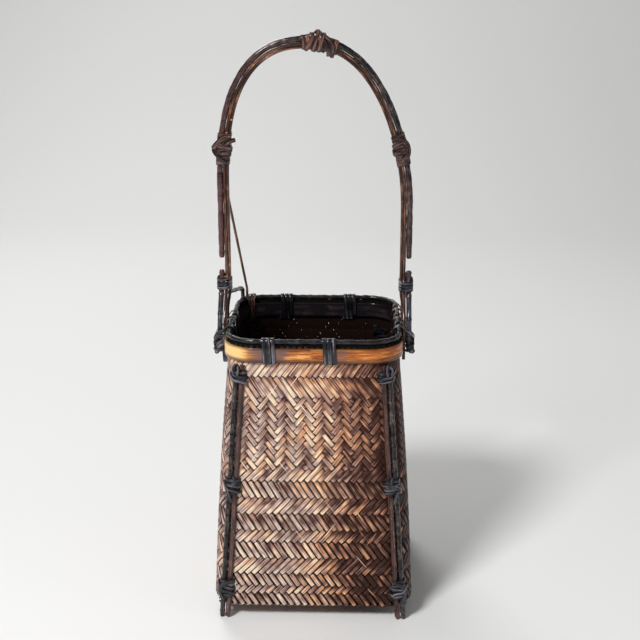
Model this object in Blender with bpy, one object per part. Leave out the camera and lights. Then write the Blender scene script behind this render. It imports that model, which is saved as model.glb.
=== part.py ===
"""Ikebana basket: a tall square plaited body on four lashed corner posts, with a banded rim,
an arched handle of cane and split strips, and a lift-out water tube inside.
The origin lies on the ground under the middle of the basket, +Z is up and the front faces -Y."""
import math
from collections import namedtuple

import bpy
import bmesh
from mathutils import Vector
from mathutils.bvhtree import BVHTree

MM = 0.001

# Plaited body
RIM_WIDTH = 165 * MM
RIM_DEPTH = 160 * MM
RIM_CORNER = 33 * MM
RIM_HEIGHT = 273 * MM
BASE_WIDTH = 190 * MM
BASE_DEPTH = 186 * MM
BASE_CORNER = 28 * MM
BASE_HEIGHT = 12 * MM
BASE_ROUND = 4 * MM
BELLY = 1.5 * MM
WALL = 2.4 * MM
FLOOR = 3 * MM
SEAT_GAP = 0.3 * MM

# Rim
BAND_HEIGHT = 14 * MM
BAND_THICK = 2.2 * MM
BAND_CROWN = 0.5 * MM
BAND_DROP = 3 * MM
INNER_BAND_HEIGHT = 15 * MM
INNER_BAND_THICK = 2 * MM
RIM_CANE = 5 * MM
WALL_STRAIGHT = 6 * MM

# Corner posts
POST_TOP_INSET = 17.5 * MM
POST_FOOT_INSET = 13 * MM
POST_CANE = 4.8 * MM
POST_STRIP_WIDTH = 5 * MM
POST_STRIP_THICK = 2.6 * MM
POST_HEAD = 3 * MM
STRIP_FOOT_LIFT = 1 * MM
STRIP_FOOT_SLANT = 3.5 * MM
CANE_NODE = 0.45 * MM
CANE_NODE_STEP = 27 * MM
CANE_NODE_LENGTH = 3 * MM

# Handle, with heights above the rim
ARCH_CLEAR = 102 * MM
ARCH_RISE = 154 * MM
ARCH_POWER = 2.35
ARCH_LEAN = 8.5 * MM
HANDLE_CANE = 4.6 * MM
FRONT_STRIP_WIDTH = 5 * MM
FRONT_STRIP_THICK = 2.6 * MM
MIDDLE_STRIP_WIDTH = 4.5 * MM
MIDDLE_STRIP_THICK = 2.4 * MM
REAR_ROD = 2.6 * MM
CANE_END_RISE = 57 * MM
SPLAY_RISE = 45 * MM
SPLAY_DROP = 7 * MM
FRONT_REACH = 28 * MM
MIDDLE_RISE = 27 * MM
MIDDLE_LOW_RISE = 4 * MM
ROD_RISE = 173 * MM
ROD_BEND_RISE = 127 * MM
ROD_DROP = 5 * MM
REAR_REACH = 34 * MM
ROD_STAND = 7 * MM
PROP_STAND = 8.5 * MM
CORNER_PROP_DROP = 12 * MM
PROP_BEND = 8 * MM
FRONT_TAIL = 12 * MM
MIDDLE_TAIL = 8 * MM
REAR_TAIL = 6 * MM

# Props beside the legs of the handle
FRONT_PROP = 5 * MM
FRONT_PROP_RISE = 45 * MM
FRONT_PROP_TAIL = 4 * MM
REAR_PROP = 4 * MM
REAR_PROP_RISE = 39 * MM

# Lashing strips
LASH_THICK = 0.9 * MM
LAYER_GAP = 0.9 * MM
SPUR = 4 * MM
SLOT_CLEAR = 0.35 * MM
SLANT_SLACK = 0.25 * MM
TIE_WIDTH = 3.4 * MM
TIE_PITCH = 4.1 * MM
CROSS_WIDTH = 1.8 * MM
CROSS_PITCH = 5 * MM
POST_LASH_WIDTH = 3 * MM
POST_LASH_PITCH = 3.6 * MM
BINDING_WIDTH = 3.1 * MM
BINDING_PITCH = 4.1 * MM

# Where the lashings sit
FRONT_TIES_X = (-40 * MM, 15 * MM)
BACK_TIES_X = (-32 * MM, 32 * MM)
TOP_LASH_DROP = 11 * MM
FOOT_LASH_RISE = 31 * MM
SHOULDER_RISE = 160 * MM
TOP_BINDING_SHIFT = 10 * MM
CORNER_SLACK = 0.6 * MM
CORNER_LAYER_GAP = 2.8 * MM
PROP_BINDING_RISE = 33 * MM

# Water tube
TUBE_WIDTH = 64 * MM
TUBE_WALL = 4 * MM
TUBE_HEIGHT = 200 * MM
TUBE_FLOOR = 7 * MM
TUBE_NODE = 1.2 * MM
TUBE_NODE_LENGTH = 5 * MM
MERGE = 0.03 * MM

# Counts and shares
CORNER_STEPS = 6
REAR_CORNER_SHARE = 0.5
ROUND_STEPS = 3
WALL_LEVELS = 5
ARCH_FINE = 720
ARCH_STEPS = 42
BEND_STEPS = 3
CANE_SIDES = 8
ROD_SIDES = 6
LOOP_SIDES = 8
TUBE_SIDES = 24
TIE_TURNS = 3
CROSS_TIE_TURNS = 2
POST_LASH_TURNS = (3, 4, 5)
TOP_BINDING_TURNS = 8
SHOULDER_TURNS = 7
PROP_BINDING_TURNS = 3
STRIP_STEPS = 14
LEG_STEPS = 14
ROD_STEPS = 4
TAPER_SHARE = 0.8
TIP_SHARE = 0.45
TUBE_NODE_SHARES = (0.05, 0.55)
MIDDLE_LASH_SHARE = 0.495
GAP_SHARES = (0, 0.25, 0.5, 0.75, 1)

BAND_BOTTOM = RIM_HEIGHT - RIM_CANE - BAND_DROP - BAND_HEIGHT
BAND_TOP = BAND_BOTTOM + BAND_HEIGHT
WALL_TOP = RIM_HEIGHT - RIM_CANE - SEAT_GAP
RIM_WALL_X = RIM_WIDTH / 2 - BAND_THICK - SEAT_GAP
RIM_WALL_Y = RIM_DEPTH / 2 - BAND_THICK - SEAT_GAP
RIM_WALL_CORNER = RIM_CORNER - BAND_THICK - SEAT_GAP
STRAIGHT_FROM = BAND_BOTTOM - WALL_STRAIGHT
POST_TOP_X = RIM_WIDTH / 2 - POST_TOP_INSET
POST_FOOT_X = BASE_WIDTH / 2 - POST_FOOT_INSET
POST_TOP = BAND_BOTTOM - POST_HEAD
TOP_LASH_HEIGHT = POST_TOP - TOP_LASH_DROP
MIDDLE_LASH_HEIGHT = FOOT_LASH_RISE + (TOP_LASH_HEIGHT - FOOT_LASH_RISE) * MIDDLE_LASH_SHARE
POST_LASH_HEIGHTS = (TOP_LASH_HEIGHT, MIDDLE_LASH_HEIGHT, FOOT_LASH_RISE)
ARCH_START = RIM_HEIGHT + ARCH_CLEAR
CANE_END = RIM_HEIGHT + CANE_END_RISE
SPLAY_TOP = RIM_HEIGHT + SPLAY_RISE
SPLAY_END = RIM_HEIGHT - SPLAY_DROP
MIDDLE_TOP = RIM_HEIGHT + MIDDLE_RISE
MIDDLE_END = RIM_HEIGHT + MIDDLE_LOW_RISE
ROD_TOP = RIM_HEIGHT + ROD_RISE
ROD_BEND = RIM_HEIGHT + ROD_BEND_RISE
ROD_END = RIM_HEIGHT - ROD_DROP
FRONT_PROP_TOP = RIM_HEIGHT + FRONT_PROP_RISE
REAR_PROP_TOP = RIM_HEIGHT + REAR_PROP_RISE
SHOULDER_HEIGHT = RIM_HEIGHT + SHOULDER_RISE
PROP_BINDING_HEIGHT = RIM_HEIGHT + PROP_BINDING_RISE
CANE_OUT = SEAT_GAP / 2 + HANDLE_CANE / 2 + CANE_NODE
FRONT_OUT = -(SEAT_GAP + FRONT_STRIP_THICK) / 2
MIDDLE_OUT = -(SEAT_GAP + MIDDLE_STRIP_THICK) / 2 - FRONT_STRIP_THICK - SEAT_GAP
HANDLE_HALF = RIM_WIDTH / 2 + SEAT_GAP + FRONT_STRIP_THICK / 2 - FRONT_OUT

DARK_CANE = ((0.020, 0.014, 0.012), 0.42)
RED_STRIP = ((0.110, 0.030, 0.014), 0.35)
AMBER_BAND = ((0.390, 0.120, 0.026), 0.33)
INNER_BAND = ((0.030, 0.017, 0.013), 0.45)
PLAIT = ((0.085, 0.042, 0.027), 0.55)
BLUE_BLACK = ((0.026, 0.025, 0.032), 0.40)
BROWN_LASH = ((0.075, 0.030, 0.018), 0.42)
TUBE_BROWN = ((0.060, 0.034, 0.018), 0.50)

Frame = namedtuple("Frame", "origin u v w")
Strip = namedtuple("Strip", "width pitch")
TIE_STRIP = Strip(TIE_WIDTH, TIE_PITCH)
CROSS_STRIP = Strip(CROSS_WIDTH, CROSS_PITCH)
POST_STRIP = Strip(POST_LASH_WIDTH, POST_LASH_PITCH)
BINDING_STRIP = Strip(BINDING_WIDTH, BINDING_PITCH)
UP = Vector((0, 0, 1))
BACK = Vector((0, 1, 0))
RIGHT = Vector((1, 0, 0))


def lerp(a, b, share):
    return a + (b - a) * share


def ease(share):
    """A smooth 0 to 1 step."""
    share = min(1, max(0, share))
    return share * share * (3 - 2 * share)


def clear_scene():
    for thing in list(bpy.data.objects):
        bpy.data.objects.remove(thing, do_unlink=True)


def make_material(name, finish):
    colour, roughness = finish
    material = bpy.data.materials.new(name)
    material.use_nodes = True
    shader = material.node_tree.nodes["Principled BSDF"]
    shader.inputs["Base Color"].default_value = (*colour, 1)
    shader.inputs["Roughness"].default_value = roughness
    shader.inputs["Metallic"].default_value = 0
    return material


def make_object(name, bm, finish):
    """A named object from a closed bmesh, faces out, with its own material."""
    bmesh.ops.recalc_face_normals(bm, faces=bm.faces)
    mesh = bpy.data.meshes.new(name)
    bm.to_mesh(mesh)
    bm.free()
    mesh.shade_smooth()
    mesh.set_sharp_from_angle(angle=math.radians(35))
    mesh.materials.append(make_material(name, finish))
    piece = bpy.data.objects.new(name, mesh)
    bpy.context.scene.collection.objects.link(piece)
    return piece


def loft(rings, closed=False):
    """Skin between rings of points, capped at both ends unless the rings close on themselves."""
    bm = bmesh.new()
    rows = [[bm.verts.new(point) for point in ring] for ring in rings]
    pairs = list(zip(rows, rows[1:]))
    if closed:
        pairs.append((rows[-1], rows[0]))
    else:
        bm.faces.new(rows[0])
        bm.faces.new(rows[-1])
    for low, high in pairs:
        for i in range(len(low)):
            j = (i + 1) % len(low)
            bm.faces.new((low[i], low[j], high[j], high[i]))
    return bm


def round_section(sides):
    return [(math.cos(2 * math.pi * i / sides), math.sin(2 * math.pi * i / sides)) for i in range(sides)]


FLAT_SECTION = [(-1, -1), (1, -1), (1, 1), (-1, 1)]


def sweep_rings(points, normals, section, sizes, closed=False):
    """Rings of a section swept along points; each normal is the section's thickness direction."""
    rings = []
    count = len(points)
    for i, point in enumerate(points):
        after = points[(i + 1) % count] if closed or i < count - 1 else None
        before = points[i - 1] if closed or i > 0 else None
        ahead = (after - point).normalized() if after else (point - before).normalized()
        behind = (point - before).normalized() if before else ahead
        both = ahead + behind
        mitre = 2 / both.length
        along = both.normalized()
        across = along.cross(normals[i]).normalized()
        out = across.cross(along)
        half_width, half_thick = sizes[i]
        rings.append([point + across * (a * half_width) + out * (b * half_thick * mitre) for a, b in section])
    return rings


def sweep(name, points, normals, section, sizes, finish, closed=False):
    return make_object(name, loft(sweep_rings(points, normals, section, sizes, closed), closed), finish)


def outline(half_x, half_y, corner, height):
    """A rounded rectangle, anticlockwise from the right side's back corner."""
    points = []
    for quarter, (sign_x, sign_y) in enumerate(((1, 1), (-1, 1), (-1, -1), (1, -1))):
        for step in range(CORNER_STEPS + 1):
            angle = math.pi / 2 * (quarter + step / CORNER_STEPS)
            x = sign_x * (half_x - corner) + corner * math.cos(angle)
            y = sign_y * (half_y - corner) + corner * math.sin(angle)
            points.append(Vector((x, y, height)))
    return points


def wall_size(height):
    """Half width, half depth and corner radius of the woven wall's outer face at a height."""
    share = min(1, max(0, (height - BASE_HEIGHT) / (STRAIGHT_FROM - BASE_HEIGHT)))
    bulge = BELLY * math.sin(math.pi * share)
    return (lerp(BASE_WIDTH / 2, RIM_WALL_X, share) + bulge,
            lerp(BASE_DEPTH / 2, RIM_WALL_Y, share) + bulge,
            lerp(BASE_CORNER, RIM_WALL_CORNER, share) + bulge)


def wall_ring(height, inset=0):
    half_x, half_y, corner = wall_size(height)
    return outline(half_x - inset, half_y - inset, corner - inset, height)


def rim_ring(offset, height):
    """The rim's outline at a distance outside the woven wall."""
    return outline(RIM_WALL_X + offset, RIM_WALL_Y + offset, RIM_WALL_CORNER + offset, height)


def woven_body():
    """The plaited shell: rounded foot edge, tapering wall, open mouth and flat floor."""
    rings = []
    for step in range(ROUND_STEPS):
        angle = math.pi / 2 * step / ROUND_STEPS
        height = BASE_HEIGHT + BASE_ROUND * (1 - math.cos(angle))
        rings.append(wall_ring(height, BASE_ROUND * (1 - math.sin(angle))))
    low = BASE_HEIGHT + BASE_ROUND
    heights = [lerp(low, STRAIGHT_FROM, step / WALL_LEVELS) for step in range(WALL_LEVELS + 1)]
    heights.append(WALL_TOP)
    inner_low = BASE_HEIGHT + FLOOR
    rings += [wall_ring(height) for height in heights]
    rings += [wall_ring(height, WALL) for height in reversed(heights[1:])]
    rings.append(wall_ring(inner_low, WALL))
    return make_object("woven_body", loft(rings), PLAIT)


def rim_band(name, inner, outer, bottom, top, crown, finish):
    """A split-bamboo hoop lying flat on the wall, its far face crowned when asked."""
    middle = (bottom + top) / 2
    rows = [rim_ring(inner, bottom), rim_ring(outer, bottom), rim_ring(outer + crown, middle),
            rim_ring(outer, top), rim_ring(inner, top)]
    if not crown:
        rows.pop(2)
    rings = [list(ring) for ring in zip(*rows)]
    return make_object(name, loft(rings, closed=True), finish)


def rim_hoops():
    rim_band("rim_outer_band", SEAT_GAP, SEAT_GAP + BAND_THICK - BAND_CROWN, BAND_BOTTOM, BAND_TOP,
             BAND_CROWN, AMBER_BAND)
    inner = -WALL - SEAT_GAP
    rim_band("rim_inner_band", inner, inner - INNER_BAND_THICK, BAND_TOP - INNER_BAND_HEIGHT, BAND_TOP,
             0, INNER_BAND)
    points = rim_ring(-WALL / 2, RIM_HEIGHT - RIM_CANE / 2)
    radius = RIM_CANE / 2
    sweep("rim_top_cane", points, [UP] * len(points), round_section(CANE_SIDES),
          [(radius, radius)] * len(points), BLUE_BLACK, closed=True)


def node_radius(radius, distance):
    """Radius of a knobbly cane, swollen for a short length at every node."""
    off = abs((distance + CANE_NODE_STEP / 2) % CANE_NODE_STEP - CANE_NODE_STEP / 2)
    return radius + CANE_NODE * max(0, 1 - off / CANE_NODE_LENGTH)


def cane_stations(length, between=1):
    """Distances along a cane: its ends, three close stations at each node, and even steps between."""
    stations = {0, length}
    node = CANE_NODE_STEP
    while node < length - CANE_NODE_LENGTH:
        stations |= {node - CANE_NODE_LENGTH, node, node + CANE_NODE_LENGTH}
        node += CANE_NODE_STEP
    fixed = sorted(stations)
    for low, high in zip(fixed, fixed[1:]):
        if high - low > CANE_NODE_LENGTH * 2:
            stations |= {lerp(low, high, i / between) for i in range(1, between)}
    return sorted(stations)


def resample(points, stations):
    """Points and unit tangents at distances along a polyline."""
    lengths = [0]
    for a, b in zip(points, points[1:]):
        lengths.append(lengths[-1] + (b - a).length)
    result = []
    index = 0
    for station in stations:
        while index < len(points) - 2 and lengths[index + 1] < station:
            index += 1
        a, b = points[index], points[index + 1]
        share = (station - lengths[index]) / (lengths[index + 1] - lengths[index])
        result.append((lerp(a, b, share), (b - a).normalized()))
    return result


def path_length(points):
    return sum((b - a).length for a, b in zip(points, points[1:]))


def cane(name, points, radius, finish):
    """A whole cane along a path, with its nodes and slightly narrowed ends."""
    stations = cane_stations(path_length(points), BEND_STEPS)
    spots = [spot for spot, _ in resample(points, stations)]
    radii = [node_radius(radius, station) for station in stations]
    radii[0] = radii[-1] = radius * TAPER_SHARE
    sweep(name, spots, [BACK] * len(spots), round_section(CANE_SIDES), [(r, r) for r in radii], finish)


def post_frame(side, face, height):
    """Where a post meets the wall: point on the wall, along-wall, outward and upward directions."""
    share = height / POST_TOP
    half_x, half_y, corner = wall_size(height)
    x = lerp(POST_FOOT_X, POST_TOP_X, share)
    past = max(0, x - (half_x - corner))
    rise = math.sqrt(max(0, corner * corner - past * past))
    spot = Vector((side * x, face * (half_y - corner + rise), height))
    outward = Vector((side * past, face * rise, 0)).normalized()
    along = Vector((side * rise, -face * past, 0)).normalized()
    return Frame(spot, along, outward, UP)


def post_points(side, face, shift, lift, heights):
    points, outs = [], []
    for height in heights:
        frame = post_frame(side, face, height)
        points.append(frame.origin + frame.u * shift + frame.v * (SEAT_GAP + lift))
        outs.append(frame.v)
    return points, outs


def post_cane_place():
    radius = POST_CANE / 2 + CANE_NODE
    return SEAT_GAP / 2 + radius, radius


def post(side, face, name):
    """One corner post: a knobbly cane outside and a split strip inside it, side by side."""
    shift, lift = post_cane_place()
    stations = cane_stations(POST_TOP)
    points, outs = post_points(side, face, shift, lift, stations)
    radii = [node_radius(POST_CANE / 2, s) for s in stations]
    radii[-1] = POST_CANE / 2 * TAPER_SHARE
    rings = []
    for point, out, radius in zip(points, outs, radii):
        across = out.cross(UP)
        rings.append([point + across * (radius * a) + out * (radius * b)
                      for a, b in round_section(CANE_SIDES)])
    make_object(name + "_cane", loft(rings), DARK_CANE)
    heights = [lerp(STRIP_FOOT_LIFT, POST_TOP, step / STRIP_STEPS) for step in range(STRIP_STEPS + 1)]
    points, outs = post_points(side, face, -(SEAT_GAP + POST_STRIP_WIDTH) / 2, POST_STRIP_THICK / 2, heights)
    rings = []
    for index, (point, out) in enumerate(zip(points, outs)):
        across = post_frame(side, face, heights[index]).u * (POST_STRIP_WIDTH / 2)
        thick = out * (POST_STRIP_THICK / 2)
        slant = UP * (STRIP_FOOT_SLANT if index == 0 else 0)
        rings.append([point - across - thick, point + across - thick + slant,
                      point + across + thick + slant, point - across + thick])
    make_object(name + "_strip", loft(rings), RED_STRIP)


def arch_curve():
    """Fine points of the arch from the left leg to the right one, on the face between
    the outer cane and the split strips. Its top leans to the left."""
    points = []
    for i in range(ARCH_FINE + 1):
        angle = math.pi * (1 - i / ARCH_FINE)
        x = math.copysign(abs(math.cos(angle)) ** (2 / ARCH_POWER), math.cos(angle)) * HANDLE_HALF
        rise = abs(math.sin(angle)) ** (2 / ARCH_POWER)
        points.append(Vector((x - ARCH_LEAN * ease(rise), 0, ARCH_START + ARCH_RISE * rise)))
    return points


def arch_frames(count):
    """Even frames along the arch: u radially out, v to the front, w along the arch."""
    curve = arch_curve()
    total = path_length(curve)
    frames = []
    for spot, along in resample(curve, [total * i / count for i in range(count + 1)]):
        frames.append(Frame(spot, along.cross(BACK), -BACK, along))
    return frames


def strand(leg, out, heights):
    """A strand of the handle: up the left leg, over the arch and down the right leg.
    leg(height) gives how far out and how far back the strand is on a leg."""
    left = [(leg(height), height) for height in heights]
    points = [Vector((-x, y, height)) for (x, y), height in left]
    normals = [-RIGHT] * len(left)
    for frame in arch_frames(ARCH_STEPS)[1:-1]:
        points.append(frame.origin + frame.u * out)
        normals.append(frame.u)
    points += [Vector((x, y, height)) for (x, y), height in reversed(left)]
    normals += [RIGHT] * len(left)
    return points, normals


def cane_leg(height):
    return HANDLE_HALF + CANE_OUT, 0


def front_leg(height):
    back = -FRONT_REACH * ease((SPLAY_TOP - height) / (SPLAY_TOP - SPLAY_END))
    return HANDLE_HALF + FRONT_OUT, back


def middle_leg(height):
    seat = RIM_WIDTH / 2 + SEAT_GAP + MIDDLE_STRIP_THICK / 2
    out = lerp(HANDLE_HALF + MIDDLE_OUT, seat, ease((MIDDLE_TOP - height) / (MIDDLE_TOP - MIDDLE_END)))
    return out, 0


def rod_leg(height):
    near = (FRONT_STRIP_WIDTH + REAR_ROD) / 2 + SEAT_GAP
    share = min(1, max(0, (ROD_BEND - height) / (ROD_BEND - ROD_END)))
    return RIM_WIDTH / 2 + SEAT_GAP + REAR_ROD / 2, lerp(near, REAR_REACH, share)


def corner_place(reach, slide=0):
    """A spot in plan outside the rear left corner of the rim, as how far out and how far back:
    reach is its distance from the wall, slide its distance to the front along the corner."""
    angle = math.pi / 2 * REAR_CORNER_SHARE - slide / RIM_WALL_CORNER
    radius = RIM_WALL_CORNER + reach
    return (RIM_WALL_X - RIM_WALL_CORNER + radius * math.cos(angle),
            RIM_WALL_Y - RIM_WALL_CORNER + radius * math.sin(angle))


def corner_strands():
    """Reach from the wall and slide along it of the rod and the prop on the rear left corner."""
    rod, prop = REAR_ROD / 2, REAR_PROP / 2 + CANE_NODE
    face = BAND_THICK + 2 * SEAT_GAP
    return (face + rod, -prop - SEAT_GAP / 2, rod), (face + prop, rod + SEAT_GAP / 2, prop)


def corner_rod_points(bottom):
    """The left rear rod from the corner of the rim up to the arch."""
    reach, slide, _ = corner_strands()[0]
    out, back = corner_place(reach, slide)
    top_out, top_back = rod_leg(ROD_BEND)
    points = [Vector((-out, back, bottom)), Vector((-out, back, RIM_HEIGHT + ROD_STAND))]
    high = Vector((-top_out, top_back, ROD_BEND))
    return points + [lerp(points[1], high, i / ROD_STEPS) for i in range(1, ROD_STEPS + 1)]


def corner_prop_points(bottom):
    """The left rear prop: up the corner, round a bend and slanting to the leg of the handle."""
    reach, slide, _ = corner_strands()[1]
    out, back = corner_place(reach, slide)
    top_out, top_back = rear_prop_leg(REAR_PROP_TOP)
    top = Vector((-top_out, top_back, PROP_BINDING_HEIGHT - CORNER_PROP_DROP))
    turn = Vector((-out, back, RIM_HEIGHT + PROP_STAND))
    low, high = turn - UP * PROP_BEND, turn + (top - turn).normalized() * PROP_BEND
    bend = [lerp(lerp(low, turn, share), lerp(turn, high, share), share) for share in GAP_SHARES]
    return [Vector((-out, back, bottom)), *bend, top]


def front_prop_leg(height):
    out, back = front_leg(height)
    return out + (FRONT_STRIP_THICK + FRONT_PROP) / 2 + CANE_NODE + SEAT_GAP, back


def rear_prop_leg(height):
    near = (MIDDLE_STRIP_WIDTH + REAR_PROP) / 2 + CANE_NODE + SEAT_GAP
    far = REAR_REACH - (REAR_ROD + REAR_PROP) / 2 - CANE_NODE - SEAT_GAP
    share = ease((REAR_PROP_TOP - height) / (REAR_PROP_TOP - ROD_END))
    return RIM_WIDTH / 2 + SEAT_GAP + REAR_PROP / 2 + CANE_NODE, lerp(near, far, share)


def steps_between(low, high, count):
    return [lerp(low, high, i / count) for i in range(count + 1)]


def handle_strands():
    points, normals = strand(cane_leg, CANE_OUT, [CANE_END, ARCH_START])
    cane("handle_outer_cane", points, HANDLE_CANE / 2, DARK_CANE)
    for name, leg, out, width, thick, tail in (
            ("handle_front_strip", front_leg, FRONT_OUT, FRONT_STRIP_WIDTH, FRONT_STRIP_THICK, FRONT_TAIL),
            ("handle_middle_strip", middle_leg, MIDDLE_OUT, MIDDLE_STRIP_WIDTH, MIDDLE_STRIP_THICK,
             MIDDLE_TAIL)):
        low = BAND_BOTTOM - tail
        heights = [low, *steps_between(SPLAY_END, SPLAY_TOP, LEG_STEPS), ARCH_START]
        points, normals = strand(leg, out, heights)
        sizes = [(width / 2, thick / 2)] * len(points)
        sizes[0] = sizes[-1] = (width / 2 * TIP_SHARE, thick / 2)
        sweep(name, points, normals, FLAT_SECTION, sizes, RED_STRIP)


def leg_path(leg, side, heights):
    places = [(leg(height), height) for height in heights]
    return [Vector((side * x, y, height)) for (x, y), height in places]


def leg_pieces(side, name):
    """The rear rod and the two short props beside one leg of the handle."""
    heights = [BAND_BOTTOM - REAR_TAIL, *steps_between(ROD_END, ROD_BEND, ROD_STEPS)]
    points = leg_path(rod_leg, side, heights) if side > 0 else corner_rod_points(BAND_BOTTOM)
    out, back = rod_leg(ARCH_START)
    for frame in arch_frames(ARCH_STEPS * 2)[1:] if side < 0 else arch_frames(ARCH_STEPS * 2)[-2::-1]:
        if frame.origin.z > ROD_TOP:
            break
        if frame.origin.z > ROD_BEND:
            spot = frame.origin + frame.u * (out - HANDLE_HALF) + BACK * rod_leg(frame.origin.z)[1]
            points.append(spot)
    radius = REAR_ROD / 2
    sweep("handle_rear_rod_" + name, points, [BACK] * len(points), round_section(ROD_SIDES),
          [(radius, radius)] * len(points), RED_STRIP)
    heights = [BAND_BOTTOM - FRONT_PROP_TAIL, *steps_between(SPLAY_END, FRONT_PROP_TOP, LEG_STEPS)]
    cane("front_prop_" + name, leg_path(front_prop_leg, side, heights), FRONT_PROP / 2, BLUE_BLACK)
    heights = [BAND_BOTTOM, *steps_between(ROD_END, REAR_PROP_TOP, LEG_STEPS)]
    points = leg_path(rear_prop_leg, side, heights) if side > 0 else corner_prop_points(heights[0])
    cane("rear_prop_" + name, points, REAR_PROP / 2, DARK_CANE)


def disc(frame, point, radius=0):
    """A round thing seen along a frame's w, as (u, v, radius)."""
    away = point - frame.origin
    return away.dot(frame.u), away.dot(frame.v), radius


def loop_corners(discs, offset):
    """Corners of the tight polygon round some discs, each with its outward direction."""
    step = 2 * math.pi / LOOP_SIDES
    reach = []
    for side in range(LOOP_SIDES):
        c, s = math.cos(side * step), math.sin(side * step)
        reach.append(max(u * c + v * s + radius for u, v, radius in discs) + offset)
    corners = []
    for side in range(LOOP_SIDES):
        angle = side * step
        near, far = reach[side], reach[(side + 1) % LOOP_SIDES]
        slide = (far - near * math.cos(step)) / math.sin(step)
        u = near * math.cos(angle) - slide * math.sin(angle)
        v = near * math.sin(angle) + slide * math.cos(angle)
        corners.append((u, v, math.cos(angle + step / 2), math.sin(angle + step / 2)))
    return corners


def lash_path(frame_at, discs, strip, turns, slide, layer_gap):
    """The unbroken path of a lashing strip: turns round the discs that climb evenly, then one
    run lifted over the turns and slanting back across them on the +v side, ending in a spur."""
    slack = SLANT_SLACK if slide else 0
    corners = loop_corners(discs, SEAT_GAP + LASH_THICK / 2 + slack)
    sides = [math.dist(corners[k][:2], corners[k - 1][:2]) for k in range(LOOP_SIDES)]
    climb = strip.pitch / sum(sides)
    lift = LASH_THICK + layer_gap + slack
    start = LOOP_SIDES * 5 // 8
    top = (0, 1, LOOP_SIDES - 2, LOOP_SIDES - 1)
    middle = strip.pitch * turns / 2
    path = []
    w = -middle
    for i in range(turns * LOOP_SIDES + 5):
        k = (start + i) % LOOP_SIDES
        u, v, nu, nv = corners[k]
        w += sides[k] * climb if i else 0
        raised = lift if i > turns * LOOP_SIDES + 2 else 0
        path.append((u + nu * raised, v + nv * raised, w + (slide if k in top else -slide), nu, nv))
    u, v, nu, nv = corners[2]
    end = (u + nu * lift, v + nv * lift, strip.pitch / 2 - middle - slide)
    path.append((*end, 0, 1))
    before = path[-2]
    run = Vector((end[0] - before[0], 0, end[2] - before[2])).normalized() * SPUR
    path.append((end[0] + run.x, end[1], end[2] + run.z, 0, 1))
    points, normals = [], []
    for u, v, w, nu, nv in path:
        frame = frame_at(w)
        points.append(frame.origin + frame.u * u + frame.v * v)
        normals.append(frame.u * nu + frame.v * nv)
    return points, normals


def print_least_gap(name, rings):
    """Prints the least gap between a stretch of a lashing and the stretches half a turn or more
    away from it, measured from points on its skin to the faces of theirs."""
    verts = [point for ring in rings for point in ring]
    quads = []
    for low in range(0, len(verts) - 4, 4):
        quads.append([(low + k, low + (k + 1) % 4, low + 4 + (k + 1) % 4, low + 4 + k) for k in range(4)])
    least = math.inf
    for i in range(len(quads)):
        spots = [lerp(a, b, share) for a, b in zip(rings[i], rings[i + 1]) for share in GAP_SHARES]
        for others in (quads[:max(0, i + 1 - LOOP_SIDES // 2)], quads[i + LOOP_SIDES // 2:]):
            if others:
                tree = BVHTree.FromPolygons(verts, [quad for four in others for quad in four])
                least = min([least] + [tree.find_nearest(spot)[3] for spot in spots])
    print(name, "least gap to itself", round(least / MM, 2), "mm")


def lashing(name, frame_at, discs, strip, turns, finish, slide=0, layer_gap=LAYER_GAP):
    points, normals = lash_path(frame_at, discs, strip, turns, slide, layer_gap)
    sizes = [(strip.width / 2, LASH_THICK / 2)] * len(points)
    sizes[-1] = (strip.width / 2 * TIP_SHARE, LASH_THICK / 2)
    rings = sweep_rings(points, normals, FLAT_SECTION, sizes)
    print_least_gap(name, rings)
    make_object(name, loft(rings), finish)


def straight(frame):
    """A frame that slides along its own w."""
    return lambda w: Frame(frame.origin + frame.w * w, frame.u, frame.v, frame.w)


def box_cutter(frame, u_range, v_range, w_range):
    """Corner points of a box in a frame, for cutting a slot through the wall."""
    rings = []
    for w in w_range:
        rings.append([frame.origin + frame.u * u + frame.v * v + frame.w * w
                      for u, v in ((u_range[0], v_range[0]), (u_range[1], v_range[0]),
                                   (u_range[1], v_range[1]), (u_range[0], v_range[1]))])
    return rings


def wall_discs(frame, half_width, heights):
    """The inner face of the woven wall between the two slots of a post lashing."""
    discs = []
    for height in heights:
        ring = wall_ring(height, WALL)
        for a, b in zip(ring, ring[1:] + ring[:1]):
            for share in steps_between(0, 1, LOOP_SIDES):
                u, v, _ = disc(frame, lerp(a, b, share))
                if abs(u) <= half_width and abs(v) <= half_width:
                    discs.append((u, v, 0))
    return discs


def post_discs(frame, end):
    """The cane and the strip of a post at one end of a lashing."""
    shift, radius = post_cane_place()
    discs = [disc(frame, end.origin + end.u * shift + end.v * (SEAT_GAP + radius), radius)]
    for inset in (0, POST_STRIP_WIDTH):
        corner = end.origin - end.u * (SEAT_GAP / 2 + inset)
        discs.append(disc(frame, corner + end.v * (SEAT_GAP + POST_STRIP_THICK)))
        discs.append(disc(frame, corner + end.v * SEAT_GAP))
    return discs


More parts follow.
